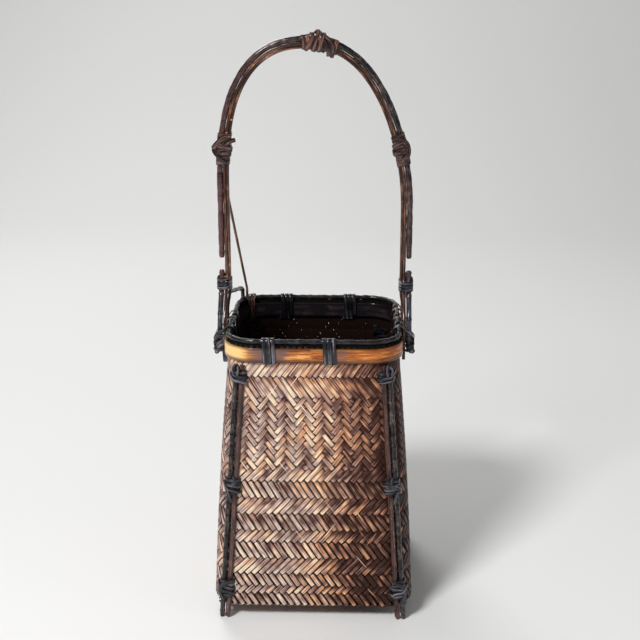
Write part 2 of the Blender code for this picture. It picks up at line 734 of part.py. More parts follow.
def post_lashings(side, face, name, slots):
    """Three lashings on a post; each goes through the wall by a slot on either side of the post."""
    strip = POST_STRIP
    for level, turns, label in zip(POST_LASH_HEIGHTS, POST_LASH_TURNS, ("top", "middle", "bottom")):
        reach = (strip.pitch * turns + strip.width) / 2
        here = post_frame(side, face, level)
        lower, upper = post_frame(side, face, level - reach), post_frame(side, face, level + reach)
        rise = (upper.origin - lower.origin).normalized()
        across = here.v.cross(rise).normalized()
        frame = Frame(here.origin, across, rise.cross(across), rise)
        discs = post_discs(frame, lower) + post_discs(frame, upper)
        wide = max(abs(u) + r for u, v, r in discs)
        far = wide + SEAT_GAP + LASH_THICK
        discs += wall_discs(frame, far, (level - reach, level + reach))
        discs = [(min(wide, max(-wide, u)), v, r if abs(u) + r <= wide else 0) for u, v, r in discs]
        low = min(v for u, v, r in discs)
        discs += [(-wide, low, 0), (wide, low, 0)]
        lashing(f"{name}_lashing_{label}", straight(frame), discs, strip, turns, BLUE_BLACK)
        near, far = wide + SEAT_GAP - SLOT_CLEAR, far + SLOT_CLEAR + (LASH_THICK + LAYER_GAP) / 2
        depth = (low - WALL, WALL)
        high = (-reach - SLOT_CLEAR, reach + strip.pitch / 2 + SLOT_CLEAR)
        slots.append(box_cutter(frame, (near, far), depth, high))
        slots.append(box_cutter(frame, (-far, -near), depth, high))


def rim_frame(side_x, side_y, along):
    """A frame on the outer face of the wall at the rim, at the band's mid height."""
    outward = Vector((side_x, side_y, 0))
    w = UP.cross(outward)
    reach = RIM_WALL_X if side_x else RIM_WALL_Y
    slide = Vector((0, along, 0)) if side_x else Vector((along, 0, 0))
    return Frame(outward * reach + slide + UP * (BAND_BOTTOM + BAND_TOP) / 2, UP, outward, w)


def rim_discs():
    """The hoops and the top cane in a rim frame."""
    half = BAND_HEIGHT / 2
    inner = -WALL - SEAT_GAP - INNER_BAND_THICK
    low = half - INNER_BAND_HEIGHT
    outer = SEAT_GAP + BAND_THICK
    cane_up = RIM_HEIGHT - RIM_CANE / 2 - (BAND_BOTTOM + BAND_TOP) / 2
    return [(half, inner, 0), (low, inner, 0), (half, outer - BAND_CROWN, 0), (-half, outer - BAND_CROWN, 0),
            (0, outer, 0), (cane_up, -WALL / 2, RIM_CANE / 2)]


def tie_slide(half_strand):
    """How far the turns of a tie move sideways so that they pass on both sides of a strand."""
    return half_strand + SEAT_GAP + (CROSS_WIDTH + CROSS_PITCH * CROSS_TIE_TURNS) / 2


def rim_tie(name, frame_at, discs, strip, turns, slide, slots, finish, layer_gap=LAYER_GAP):
    """A tie round the rim, whose turns slant by the slide where a strand crosses it."""
    lashing(name, frame_at, discs, strip, turns, finish, slide, layer_gap)
    bottom = -max(-u for u, v, r in discs) - SEAT_GAP
    reach = (strip.pitch * turns + strip.width) / 2 + SLOT_CLEAR
    slots.append(box_cutter(frame_at(-slide), (bottom - LASH_THICK - SLOT_CLEAR, bottom + SEAT_GAP / 2),
                            (-2 * WALL, WALL), (-reach, reach)))


def corner_frame_at(w):
    """Frames round the rear left corner of the rim, by the distance along it."""
    out, back = corner_place(0, w)
    middle_out, middle_back = corner_place(-RIM_WALL_CORNER)
    outward = Vector((middle_out - out, back - middle_back, 0)).normalized()
    return Frame(Vector((-out, back, (BAND_BOTTOM + BAND_TOP) / 2)), UP, outward, UP.cross(outward))


def corner_tie(slots):
    """The tie of the rod and the prop, round the rear left corner of the rim."""
    discs = rim_discs()
    for reach, _, radius in corner_strands():
        discs += [(height, reach, radius + CORNER_SLACK) for height in (-BAND_DROP, BAND_DROP)]
    slide = tie_slide((REAR_ROD + REAR_PROP + SEAT_GAP) / 2 + CANE_NODE) / 2
    rim_tie("rim_tie_left_rear", lambda w: corner_frame_at(w + slide), discs, CROSS_STRIP, CROSS_TIE_TURNS,
            slide, slots, BROWN_LASH, CORNER_LAYER_GAP)


def strand_discs(frame, side, pieces):
    """Discs of the strands that pass the rim, over a short height about the middle of the tie."""
    discs = []
    for leg, half_out, half_wide in pieces:
        out, back = leg(BAND_BOTTOM)
        for height in (-BAND_DROP, BAND_DROP):
            point = Vector((side * out, back, frame.origin.z + height))
            discs.append(disc(frame, point, half_out))
    return discs


def rim_ties(slots):
    for name, face, places in (("front", -1, FRONT_TIES_X), ("back", 1, BACK_TIES_X)):
        for label, x in zip(("left", "right"), places):
            rim_tie(f"rim_tie_{name}_{label}", straight(rim_frame(0, face, x)), rim_discs(), TIE_STRIP,
                    TIE_TURNS, 0, slots, BLUE_BLACK)
    rod, prop = REAR_ROD / 2, REAR_PROP / 2 + CANE_NODE
    rear_half = rod + prop + SEAT_GAP / 2
    rear_middle = REAR_REACH + rod - rear_half
    for name, side in (("left", -1), ("right", 1)):
        front = [(front_leg, FRONT_STRIP_THICK / 2, 0), (front_prop_leg, FRONT_PROP / 2 + CANE_NODE, 0)]
        middle = [(middle_leg, MIDDLE_STRIP_THICK / 2, 0)]
        rear = [(rod_leg, rod, 0), (rear_prop_leg, prop, 0)]
        ties = [("front", -FRONT_REACH, front, FRONT_PROP / 2 + CANE_NODE),
                ("middle", 0, middle, MIDDLE_STRIP_WIDTH / 2)]
        if side > 0:
            ties.append(("rear", rear_middle, rear, rear_half))
        for label, place, pieces, half_strand in ties:
            frame = rim_frame(side, 0, place)
            discs = rim_discs() + strand_discs(frame, side, pieces)
            rim_tie(f"rim_tie_{name}_{label}", straight(frame), discs, CROSS_STRIP, CROSS_TIE_TURNS,
                    tie_slide(half_strand), slots, BROWN_LASH)
    corner_tie(slots)


def cut_slots(body, slots):
    """Cuts the lashing slots through the woven wall."""
    bm = bmesh.new()
    for rings in slots:
        rows = [[bm.verts.new(point) for point in ring] for ring in rings]
        bm.faces.new(reversed(rows[0]))
        bm.faces.new(rows[1])
        for i in range(4):
            j = (i + 1) % 4
            bm.faces.new((rows[0][i], rows[0][j], rows[1][j], rows[1][i]))
    cutter = make_object("slot_cutter", bm, PLAIT)
    cutter.hide_render = True
    cutter.display_type = "WIRE"
    cut = body.modifiers.new("lashing_slots", "BOOLEAN")
    cut.operation = "DIFFERENCE"
    cut.solver = "EXACT"
    cut.object = cutter


def handle_discs(with_rod):
    """The strands of the handle in an arch frame."""
    discs = [(CANE_OUT, 0, HANDLE_CANE / 2 + CANE_NODE)]
    for out, width, thick in ((FRONT_OUT, FRONT_STRIP_WIDTH, FRONT_STRIP_THICK),
                              (MIDDLE_OUT, MIDDLE_STRIP_WIDTH, MIDDLE_STRIP_THICK)):
        for u in (out - thick / 2, out + thick / 2):
            discs += [(u, -width / 2, 0), (u, width / 2, 0)]
    if with_rod:
        out, back = rod_leg(ARCH_START)
        discs.append((out - HANDLE_HALF, -back, REAR_ROD / 2))
    return discs


def arch_frame_at(middle):
    """Frames along the arch as a function of the distance from a point of it."""
    curve = arch_curve()

    def frame_at(w):
        spot, along = resample(curve, [middle + w])[0]
        return Frame(spot, along.cross(BACK), -BACK, along)
    return frame_at


def shoulder_distance():
    """How far along the arch the left shoulder binding sits."""
    distance = 0
    curve = arch_curve()
    for a, b in zip(curve, curve[1:]):
        if b.z > SHOULDER_HEIGHT:
            return distance
        distance += (b - a).length
    return distance


def handle_bindings():
    total = path_length(arch_curve())
    shoulder = shoulder_distance()
    top = arch_frame_at(total / 2 + TOP_BINDING_SHIFT)
    lashing("handle_binding_top", top, handle_discs(False), BINDING_STRIP, TOP_BINDING_TURNS, BROWN_LASH)
    for name, place in (("left", shoulder), ("right", total - shoulder)):
        frame_at = arch_frame_at(place)
        lashing("handle_binding_" + name, frame_at, handle_discs(True), BINDING_STRIP, SHOULDER_TURNS,
                BROWN_LASH)


def prop_binding(side, name):
    """The binding that draws the props to a leg of the handle."""
    origin = Vector((side * HANDLE_HALF, 0, PROP_BINDING_HEIGHT))
    outward = RIGHT * side
    frame = Frame(origin, outward.cross(UP), outward, UP)
    strip = BINDING_STRIP
    reach = (strip.pitch * PROP_BINDING_TURNS + strip.width) / 2
    discs = []
    for height in (PROP_BINDING_HEIGHT - reach, PROP_BINDING_HEIGHT + reach):
        for leg, half_out, half_back in (
                (front_leg, FRONT_STRIP_THICK / 2, FRONT_STRIP_WIDTH / 2),
                (middle_leg, MIDDLE_STRIP_THICK / 2, MIDDLE_STRIP_WIDTH / 2),
                (front_prop_leg, FRONT_PROP / 2 + CANE_NODE, 0),
                (rear_prop_leg, REAR_PROP / 2 + CANE_NODE, 0)):
            out, back = leg(height)
            centre = Vector((side * out, back, height))
            if not half_back:
                discs.append(disc(frame, centre, half_out))
                continue
            for x in (-half_out, half_out):
                for y in (-half_back, half_back):
                    discs.append(disc(frame, centre + Vector((x, y, 0))))
    lashing("prop_binding_" + name, straight(frame), discs, strip, PROP_BINDING_TURNS, BLUE_BLACK)


def water_tube():
    """A bamboo tube with two nodes, closed below, standing on the woven floor."""
    outer = TUBE_WIDTH / 2
    profile = [(0, 0), (outer - TUBE_NODE, 0)]
    for share in TUBE_NODE_SHARES:
        middle = TUBE_HEIGHT * share
        profile += [(outer - TUBE_NODE, middle - TUBE_NODE_LENGTH / 2), (outer, middle),
                    (outer - TUBE_NODE, middle + TUBE_NODE_LENGTH / 2)]
    inner = outer - TUBE_NODE - TUBE_WALL
    profile += [(outer - TUBE_NODE, TUBE_HEIGHT), (inner, TUBE_HEIGHT), (inner, TUBE_FLOOR), (0, TUBE_FLOOR)]
    bm = bmesh.new()
    verts = [bm.verts.new((x, 0, z)) for x, z in profile]
    for a, b in zip(verts, verts[1:]):
        bm.edges.new((a, b))
    bmesh.ops.spin(bm, geom=bm.verts[:] + bm.edges[:], cent=(0, 0, 0), axis=(0, 0, 1),
                   angle=2 * math.pi, steps=TUBE_SIDES, use_merge=True)
    bmesh.ops.remove_doubles(bm, verts=bm.verts, dist=MERGE)
    tube = make_object("water_tube", bm, TUBE_BROWN)
    tube.location = (0, 0, BASE_HEIGHT + FLOOR + SEAT_GAP)


def main():
    clear_scene()
    body = woven_body()
    rim_hoops()
    slots = []
    for side, side_name in ((-1, "left"), (1, "right")):
        for face, face_name in ((-1, "front"), (1, "back")):
            name = f"post_{face_name}_{side_name}"
            post(side, face, name)
            post_lashings(side, face, name, slots)
        leg_pieces(side, side_name)
        prop_binding(side, side_name)
    rim_ties(slots)
    handle_strands()
    handle_bindings()
    water_tube()
    cut_slots(body, slots)


main()
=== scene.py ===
"""Ikebana basket: the visual model. Plaited walls and floor, banded rim with its ties, corner
posts and their lashings, the arched handle with its bindings and props, and the water tube."""
import math

import bmesh
import bpy
import numpy as np
from bpy.props import FloatProperty, FloatVectorProperty, IntProperty, PointerProperty
from mathutils import Euler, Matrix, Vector


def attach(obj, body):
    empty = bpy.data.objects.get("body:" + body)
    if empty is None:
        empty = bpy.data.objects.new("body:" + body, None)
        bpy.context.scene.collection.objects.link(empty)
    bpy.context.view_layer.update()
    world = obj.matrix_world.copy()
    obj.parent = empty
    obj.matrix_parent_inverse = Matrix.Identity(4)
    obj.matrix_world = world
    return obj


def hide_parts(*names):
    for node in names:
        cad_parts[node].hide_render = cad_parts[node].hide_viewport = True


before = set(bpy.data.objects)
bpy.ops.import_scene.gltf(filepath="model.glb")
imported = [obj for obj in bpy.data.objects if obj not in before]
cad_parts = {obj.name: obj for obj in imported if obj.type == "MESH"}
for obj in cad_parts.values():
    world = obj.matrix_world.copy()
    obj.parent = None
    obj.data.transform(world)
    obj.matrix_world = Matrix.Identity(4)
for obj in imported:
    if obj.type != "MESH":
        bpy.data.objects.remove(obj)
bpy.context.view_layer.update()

bl_info = {
    "name": "Ikebana Basket",
    "version": (1, 0, 0),
    "blender": (4, 5, 0),
    "location": "View3D > Sidebar > Basket",
    "description": "Plaited bamboo flower basket with a lashed frame and an arched handle",
    "category": "Object",
}

MM = 0.001
UP = np.array((0.0, 0.0, 1.0))
BACK = np.array((0.0, 1.0, 0.0))
RIGHT = np.array((1.0, 0.0, 0.0))
# A small step, in metres or as a share of the way round, over which directions are measured
PROBE = 0.0005

# Sizes that the solids have too
GAP = 0.3 * MM
WALL = 2.4 * MM
FOOT_ROUND = 4 * MM
BELLY = 1.5 * MM
BAND_HEIGHT = 14 * MM
BAND_THICK = 2.2 * MM
RIM_CANE = 5 * MM
BAND_DROP = 3 * MM
INNER_BAND_HEIGHT = 15 * MM
INNER_BAND_THICK = 2 * MM
WALL_STRAIGHT = 6 * MM
POST_HEAD = 3 * MM
POST_CANE = 4.8 * MM
POST_STRIP = (5 * MM, 2.6 * MM)
HANDLE_CANE = 4.6 * MM
FRONT_STRIP = (5 * MM, 2.6 * MM)
MIDDLE_STRIP = (4.5 * MM, 2.4 * MM)
REAR_ROD = 2.6 * MM
FRONT_PROP = 5 * MM
REAR_PROP = 4 * MM
CANE_SWELL = 0.45 * MM
ROD_HALF = REAR_ROD / 2
FRONT_PROP_HALF = FRONT_PROP / 2 + CANE_SWELL
REAR_PROP_HALF = REAR_PROP / 2 + CANE_SWELL
# How square the arch is, and how far its top leans to the left
ARCH_POWER = 2.35
ARCH_LEAN = 8.5 * MM
# Where on the quarter turn of the rear left corner the rod and the prop are tied
REAR_CORNER_SHARE = 0.5

# Rows of the weave from the rim down: lowest crossing of each row, and which strip floats on top
ROWS = ((57, "rising"), (52, "falling"), (34, "chevron"), (31, "rising"), (27, "falling"),
        (23, "rising"), (19, "falling"), (16, "rising"), (12, "falling"), (8, "rising"),
        (5, "falling"), (3, "rising"), (0, "falling"), (-2, "rising"), (-9, "falling"))
# Places in a chevron's round of six crossings at which the falling strip is on top
CHEVRON_FALLING = (4, 5, 0)
# The crossing below which the strips lean and are narrower, and by how much for each crossing
LEAN_BELOW = 34
LEAN = 0.09
LEANING_WIDTH = 0.94
# How far on either side of a crossing a strip stays up or down, and how far a float bows out
CROSSING_HALF = 0.3
FLOAT_BOW = 1.25
# Crossings of the wall from its foot to its top, their distances, and where the distance changes
WALL_CELLS = (-2, 64)
CELLS_LOW = 32.25
CELL_LOW = 4.0 * MM
CELL_HIGH = 3.8 * MM

# The floor: distance between strips, half width of a strip as a share of it, distance from the
# wall's foot, how far a strip lies above the middle of the floor and swings up and down from
# there, and how many strips lie on each side of the middle
FLOOR_PITCH = 6.2 * MM
FLOOR_COVER = 0.47
FLOOR_MARGIN = 4.2 * MM
FLOOR_LIFT = 0.25 * MM
FLOOR_SWING = 0.45 * MM
FLOOR_REACH = 22

# How far in from the wall's sides the corner posts stand at the foot and at the rim
POST_INSET_FOOT = 13 * MM
POST_INSET_RIM = 17.5 * MM


def lerp(a, b, share):
    return a + (b - a) * share


def ease(share):
    share = np.clip(share, 0, 1)
    return share * share * (3 - 2 * share)


def unit(vectors):
    vectors = np.asarray(vectors, float)
    return vectors / np.maximum(np.linalg.norm(vectors, axis=-1, keepdims=True), 1e-12)


def distances(points):
    """How far along a polyline each of its points lies."""
    return np.concatenate(([0], np.cumsum(np.linalg.norm(np.diff(points, axis=0), axis=1))))


def wander(rng, along, reach, waves=5):
    """A smooth random offset along a length, whose slowest wave is as long as reach."""
    total = np.zeros(len(along))
    for wave in range(1, waves + 1):
        total += np.sin(2 * math.pi * (along * wave / reach + rng.random())) / wave * rng.uniform(0.4, 1)
    return total


# Nodes written as expressions

def feed(tree, socket, value):
    if isinstance(value, Value):
        tree.links.new(value.socket, socket)
    else:
        socket.default_value = value


def worked_out(tree, operation, *operands):
    """A Math node on numbers and sockets, in their order."""
    return Graph(tree).node("ShaderNodeMath", {"operation": operation}, dict(enumerate(operands)))


class Value:
    """A node socket that takes part in Python arithmetic by adding Math nodes."""

    def __init__(self, tree, socket):
        self.tree, self.socket = tree, socket

    def math(self, operation, *others):
        return worked_out(self.tree, operation, self, *others)

    def __add__(self, other):
        return self.math("ADD", other)

    def __sub__(self, other):
        return self.math("SUBTRACT", other)

    def __mul__(self, other):
        return self.math("MULTIPLY", other)

    def __truediv__(self, other):
        return self.math("DIVIDE", other)

    def __pow__(self, other):
        return self.math("POWER", other)

    def __rsub__(self, other):
        return worked_out(self.tree, "SUBTRACT", other, self)

    def __rtruediv__(self, other):
        return worked_out(self.tree, "DIVIDE", other, self)

    def __abs__(self):
        return self.math("ABSOLUTE")

    __radd__ = __add__
    __rmul__ = __mul__

    def step(self, low, high):
        """A smooth 0 to 1 step between two values."""
        return Graph(self.tree).node("ShaderNodeMapRange", {"interpolation_type": "SMOOTHSTEP"},
                                     {"Value": self, "From Min": low, "From Max": high})


class Graph:
    """Adds nodes to a tree: a type, its settings first, then the values or links of its sockets."""

    def __init__(self, tree):
        self.tree = tree

    def node(self, kind, settings=None, inputs=None, output=0):
        node = self.tree.nodes.new(kind)
        for key, value in (settings or {}).items():
            setattr(node, key, value)
        for key, value in (inputs or {}).items():
            feed(self.tree, node.inputs[key], value)
        return Value(self.tree, node.outputs[output])

    def vector(self, x, y, z):
        return self.node("ShaderNodeCombineXYZ", None, {"X": x, "Y": y, "Z": z})

    def split(self, vector):
        return [self.node("ShaderNodeSeparateXYZ", None, {"Vector": vector}, axis) for axis in "XYZ"]


class Finish(Graph):
    """One procedural material."""

    def __init__(self, name):
        self.material = bpy.data.materials.new("skin_" + name)
        self.material.use_nodes = True
        super().__init__(self.material.node_tree)
        self.shader = self.tree.nodes["Principled BSDF"]

    def mark(self, name):
        """A number that the mesh carries under a name."""
        return self.node("ShaderNodeAttribute", {"attribute_name": name}, None, "Fac")

    def section(self):
        """Where a point lies on the strip's section: across it and through it, from -1 to 1."""
        spot = self.node("ShaderNodeAttribute", {"attribute_name": "section"}, None, "Vector")
        return self.split(spot)[:2]

    def place(self):
        return self.node("ShaderNodeTexCoord", None, None, "Object")

    def noise(self, vector, scale=1.0, detail=2.0, roughness=0.5):
        return self.node("ShaderNodeTexNoise", None, {
            "Vector": vector, "Scale": scale, "Detail": detail, "Roughness": roughness}, "Fac")

    def mix(self, share, first, second):
        first, second = [(*c, 1) if isinstance(c, tuple) and len(c) == 3 else c for c in (first, second)]
        return self.node("ShaderNodeMix", {"data_type": "RGBA"}, {0: share, 6: first, 7: second}, 2)

    def bump(self, height, distance):
        return self.node("ShaderNodeBump", None, {"Height": height, "Distance": distance, "Strength": 1.0})

    def done(self, **sockets):
        for key, value in sockets.items():
            feed(self.tree, self.shader.inputs[key.replace("_", " ")], value)
        return self.material


# Geometry Nodes

def swept_strip_tree():
    """Skins a section round centre lines whose points carry their side and lift vectors."""
    tree = bpy.data.node_groups.get("Swept strip")
    if tree:
        return tree
    tree = bpy.data.node_groups.new("Swept strip", "GeometryNodeTree")
    for name, way, kind in (("Geometry", "INPUT", "Geometry"), ("Sides", "INPUT", "Int"),
                            ("Squareness", "INPUT", "Float"), ("Material", "INPUT", "Material"),
                            ("Geometry", "OUTPUT", "Geometry")):
        tree.interface.new_socket(name, in_out=way, socket_type="NodeSocket" + kind)
    graph = Graph(tree)
    source = tree.nodes.new("NodeGroupInput")
    lines, sides, square, material = [Value(tree, socket) for socket in source.outputs[:4]]

    def named(name):
        return graph.node("GeometryNodeInputNamedAttribute", {"data_type": "FLOAT_VECTOR"}, {"Name": name})

    def store(geometry, name, value):
        return graph.node("GeometryNodeStoreNamedAttribute", {"data_type": "FLOAT_VECTOR"},
                          {"Geometry": geometry, "Name": name, "Value": value})

    def rounded(wave):
        return wave.math("SIGN") * abs(wave) ** square

    angle = (graph.node("GeometryNodeInputIndex") + 0.5) * (2 * math.pi) / sides
    section = graph.vector(rounded(angle.math("COSINE")), rounded(angle.math("SINE")), 0.0)
    circle = graph.node("GeometryNodeCurvePrimitiveCircle", {"mode": "RADIUS"},
                      {"Resolution": sides, "Radius": MM})
    circle = store(circle, "section", section)
    curve = graph.node("GeometryNodeMeshToCurve", None, {"Mesh": lines})
    curve = store(curve, "centre", graph.node("GeometryNodeInputPosition"))
    skin = graph.node("GeometryNodeCurveToMesh", None,
                      {"Curve": curve, "Profile Curve": circle, "Fill Caps": True})
    across, through, _ = graph.split(named("section"))

    def vector_math(operation, first, other, key=1):
        return graph.node("ShaderNodeVectorMath", {"operation": operation}, {0: first, key: other})

    spot = vector_math("ADD", named("centre"), vector_math("SCALE", named("side"), across, "Scale"))
    spot = vector_math("ADD", spot, vector_math("SCALE", named("lift"), through, "Scale"))
    skin = graph.node("GeometryNodeSetPosition", None, {"Geometry": skin, "Position": spot})
    for name in ("centre", "side", "lift"):
        skin = graph.node("GeometryNodeRemoveAttribute", None, {"Geometry": skin, "Name": name})
    skin = graph.node("GeometryNodeRealizeInstances", None, {"Geometry": skin})
    skin = graph.node("GeometryNodeSetMaterial", None, {"Geometry": skin, "Material": material})
    target = tree.nodes.new("NodeGroupOutput")
    tree.links.new(skin.socket, target.inputs[0])
    return tree


def line_mesh(runs):
    """A mesh of centre lines, with the marks of their points as attributes."""
    mesh = bpy.data.meshes.new("centre_lines")
    counts = [len(line["points"]) for line in runs]
    starts = np.concatenate(([0], np.cumsum(counts)))
    edges = []
    for line, start, count in zip(runs, starts, counts):
        index = np.arange(start, start + count)
        pairs = np.stack((index[:-1], index[1:]), 1)
        if line["closed"]:
            pairs = np.vstack((pairs, (index[-1], index[0])))
        edges.append(pairs)
    edges = np.concatenate(edges)
    mesh.vertices.add(starts[-1])
    mesh.vertices.foreach_set("co", np.concatenate([line["points"] for line in runs]).ravel())
    mesh.edges.add(len(edges))
    mesh.edges.foreach_set("vertices", edges.ravel())
    for name in ("side", "lift"):
        layer = mesh.attributes.new(name, "FLOAT_VECTOR", "POINT")
        layer.data.foreach_set("vector", np.concatenate([line[name] for line in runs]).ravel())
    for name in ("length", "seed", "tone", "wear_and_float_light", "depth"):
        layer = mesh.attributes.new(name, "FLOAT", "POINT")
        values = np.concatenate([np.broadcast_to(line[name], count) for line, count in zip(runs, counts)])
        layer.data.foreach_set("value", values.astype(float))
    mesh.update()
    return mesh


def run(points, outward, half_width, half_thick, closed=False, seed=0.0, tone=0.5, wear_and_float_light=0.0, depth=1.0):
    """A centre line with the side and lift vectors of a strip that faces outward."""
    points = np.asarray(points, float)
    if closed:
        along = unit(np.roll(points, -1, 0) - np.roll(points, 1, 0))
    else:
        along = unit(np.gradient(points, axis=0))
    across = unit(np.cross(along, outward))
    out = np.cross(across, along)
    count = len(points)
    return {"points": points, "closed": closed, "seed": seed, "tone": tone, "wear_and_float_light": wear_and_float_light, "depth": depth,
            "side": across * np.broadcast_to(half_width, count)[:, None],
            "lift": out * np.broadcast_to(half_thick, count)[:, None],
            "length": distances(points)}


def swept(name, runs, material, sides, squareness, sharp):
    """A plain mesh of strips or canes, from centre lines through the Swept strip tree: sides of
    the section, its squareness from 1, round, to 0, square, and the angle of its sharp edges."""
    tree = swept_strip_tree()
    holder = bpy.data.objects.new(name + "_lines", line_mesh(runs))
    bpy.context.scene.collection.objects.link(holder)
    modifier = holder.modifiers.new("Swept strip", "NODES")
    modifier.node_group = tree
    values = {"Sides": sides, "Squareness": squareness, "Material": material}
    for item in tree.interface.items_tree:
        if item.in_out == "INPUT" and item.name in values:
            modifier[item.identifier] = values[item.name]
    graph = bpy.context.evaluated_depsgraph_get()
    mesh = bpy.data.meshes.new_from_object(holder.evaluated_get(graph), depsgraph=graph)
    lines = holder.data
    bpy.data.objects.remove(holder)
    bpy.data.meshes.remove(lines)
    face_outwards(mesh)
    mesh.name = name
    mesh.shade_smooth()
    mesh.set_sharp_from_angle(angle=math.radians(sharp))
    return mesh


def face_outwards(mesh):
    bm = bmesh.new()
    bm.from_mesh(mesh)
    bmesh.ops.recalc_face_normals(bm, faces=bm.faces)
    bm.to_mesh(mesh)
    bm.free()


def place(name, mesh, slot, *nodes, body="basket"):
    """Puts a finished mesh in the scene on its body, in place of the solids it stands for."""
    piece = bpy.data.objects.new(name, mesh)
    bpy.context.scene.collection.objects.link(piece)
    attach(piece, body)
    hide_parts(*nodes)


def dress(name, runs, slot, node, sides=10, squareness=0.5, sharp=50, look=None):
    """Sweeps the strips or canes of a piece and puts it in place of a solid. Its finish has the
    slot's name, unless another look is named."""
    place(name, swept(name, runs, finish(look or slot), sides, squareness, sharp), slot, node)


# Sizes and colours

def length(name, millimetres, description):
    return FloatProperty(name=name, description=description, default=millimetres * MM, min=0,
                         unit="LENGTH", subtype="DISTANCE")


def colour(name, red, green, blue):
    return FloatVectorProperty(name=name, description="Colour of the " + name.lower(),
                               default=(red, green, blue), min=0, max=1, subtype="COLOR")


class BasketSizes(bpy.types.PropertyGroup):
    """Main sizes of the basket."""
    rim_width: length("Rim width", 165, "Width over the outer band")
    rim_depth: length("Rim depth", 160, "Depth over the outer band")
    rim_corner: length("Rim corner", 33, "Corner radius of the outer band")
    rim_height: length("Rim height", 273, "Height of the top of the rim")
    base_width: length("Base width", 190, "Width of the wall at its foot")
    base_depth: length("Base depth", 186, "Depth of the wall at its foot")
    base_corner: length("Base corner", 28, "Corner radius of the wall at its foot")
    base_height: length("Base height", 12, "Height of the wall's foot over the table")
    strip_width: length("Plaiting strip", 4.35, "Width of one strip of the weave")
    strip_thick: length("Strip thickness", 0.8, "Thickness of one strip of the weave")
    strip_count: IntProperty(name="Strips", description="Strips in each direction of the weave",
                             default=105, min=12)
    arch_clear: length("Arch start", 102, "Height over the rim where the arch begins")
    arch_rise: length("Arch rise", 154, "Rise of the arch over its legs")
    lash_thick: length("Lashing thickness", 0.9, "Thickness of a lashing strip")
    tube_width: length("Tube width", 64, "Outer width of the water tube")
    tube_height: length("Tube height", 200, "Height of the water tube")


class BasketColours(bpy.types.PropertyGroup):
    """Colours of the finishes."""
    plait_dark: colour("Dark plaiting", 0.040, 0.0135, 0.0080)
    plait: colour("Plaited strips", 0.21, 0.095, 0.070)
    plait_light: colour("Light plaiting", 0.70, 0.33, 0.165)
    # A painted reflection on the left of the plaiting
    plait_sheen: colour("Painted sheen on the plaiting", 0.56, 0.40, 0.35)
    plait_worn: colour("Worn plaiting", 0.99, 0.79, 0.57)
    band: colour("Outer band", 0.50, 0.135, 0.018)
    band_burnt: colour("Burnt band", 0.17, 0.10, 0.09)
    dark_band: colour("Inner band", 0.009, 0.007, 0.009)
    cane: colour("Dark cane", 0.009, 0.007, 0.007)
    dark_bloom: colour("Bloom on the dark canes", 0.19, 0.145, 0.14)
    rim_bloom: colour("Bloom on the rim cane", 0.060, 0.062, 0.080)
    blue_bloom: colour("Bloom on the blue black canes", 0.10, 0.10, 0.13)
    cane_brown: colour("Brown parts of the canes", 0.12, 0.055, 0.052)
    red_strip: colour("Red brown strips", 0.038, 0.016, 0.011)
    post_strip: colour("Post strips", 0.024, 0.010, 0.009)
    lash: colour("Blue black lashing", 0.013, 0.013, 0.018)
    brown_lash: colour("Brown lashing", 0.018, 0.010, 0.011)
    tube: colour("Water tube", 0.075, 0.04, 0.02)


def sizes():
    return bpy.context.scene.basket_sizes


def tint(name):
    return tuple(getattr(bpy.context.scene.basket_colours, name))


def dark_of(shade, share):
    return tuple(channel * share for channel in shade)


# The wall

def heights():
    """Heights under the rim: bottom and top of the outer band, and top of the posts."""
    band_bottom = sizes().rim_height - RIM_CANE - BAND_DROP - BAND_HEIGHT
    return band_bottom, band_bottom + BAND_HEIGHT, band_bottom - POST_HEAD


def wall_size(height):
    """Half width, half depth and corner radius of the wall's outer face at a height."""
    s = sizes()
    straight_from = heights()[0] - WALL_STRAIGHT
    share = np.clip((height - s.base_height) / (straight_from - s.base_height), 0, 1)
    bulge = BELLY * np.sin(math.pi * share)
    inset = BAND_THICK + GAP
    return (lerp(s.base_width / 2, s.rim_width / 2 - inset, share) + bulge,
            lerp(s.base_depth / 2, s.rim_depth / 2 - inset, share) + bulge,
            lerp(s.base_corner, s.rim_corner - inset, share) + bulge)


def round_box(half_x, half_y, corner, turn):
    """Points of a rounded rectangle at shares of the way round it from the front middle."""
    a, b, quarter = half_x - corner, half_y - corner, corner * math.pi / 2
    total = 4 * (a + b + quarter)
    s = (turn % 1.0) * total
    mirrored = np.where(s > total / 2, -1, 1)
    s = np.minimum(s, total - s)
    front = np.clip(s, 0, a)
    side = np.clip(s - a - quarter, 0, 2 * b)
    back = np.clip(s - a - 2 * quarter - 2 * b, 0, a)
    angle = (np.clip(s - a, 0, quarter) + np.clip(s - a - quarter - 2 * b, 0, quarter)) / corner
    return mirrored * (front - back + corner * np.sin(angle)), side - b - corner * np.cos(angle)


def wall_middle(turn, rise):
    """Points of the wall's middle surface at distances above the rounded foot."""
    bend = FOOT_ROUND - WALL / 2
    below = np.maximum(0, -rise)
    angle = np.minimum(below / bend, math.pi / 2)
    inset = WALL / 2 + bend * (1 - np.cos(angle)) + np.maximum(0, below - bend * math.pi / 2)
    height = sizes().base_height + FOOT_ROUND + np.maximum(0, rise) - bend * np.sin(angle)
    half_x, half_y, corner = wall_size(height)
    x, y = round_box(half_x - inset, half_y - inset, corner - inset, turn)
    return np.stack((x, y, height + 0 * x), -1)


def wall_places(turn, rise):
    """Points of the wall's middle surface and its outward directions."""
    round_way = wall_middle(turn + PROBE, rise) - wall_middle(turn - PROBE, rise)
    up_way = wall_middle(turn, rise + PROBE) - wall_middle(turn, rise - PROBE)
    return wall_middle(turn, rise), unit(np.cross(round_way, up_way))


def cell_rise(cells):
    """The height over the foot at which crossings lie."""
    return np.minimum(cells, CELLS_LOW) * CELL_LOW + np.maximum(0, cells - CELLS_LOW) * CELL_HIGH


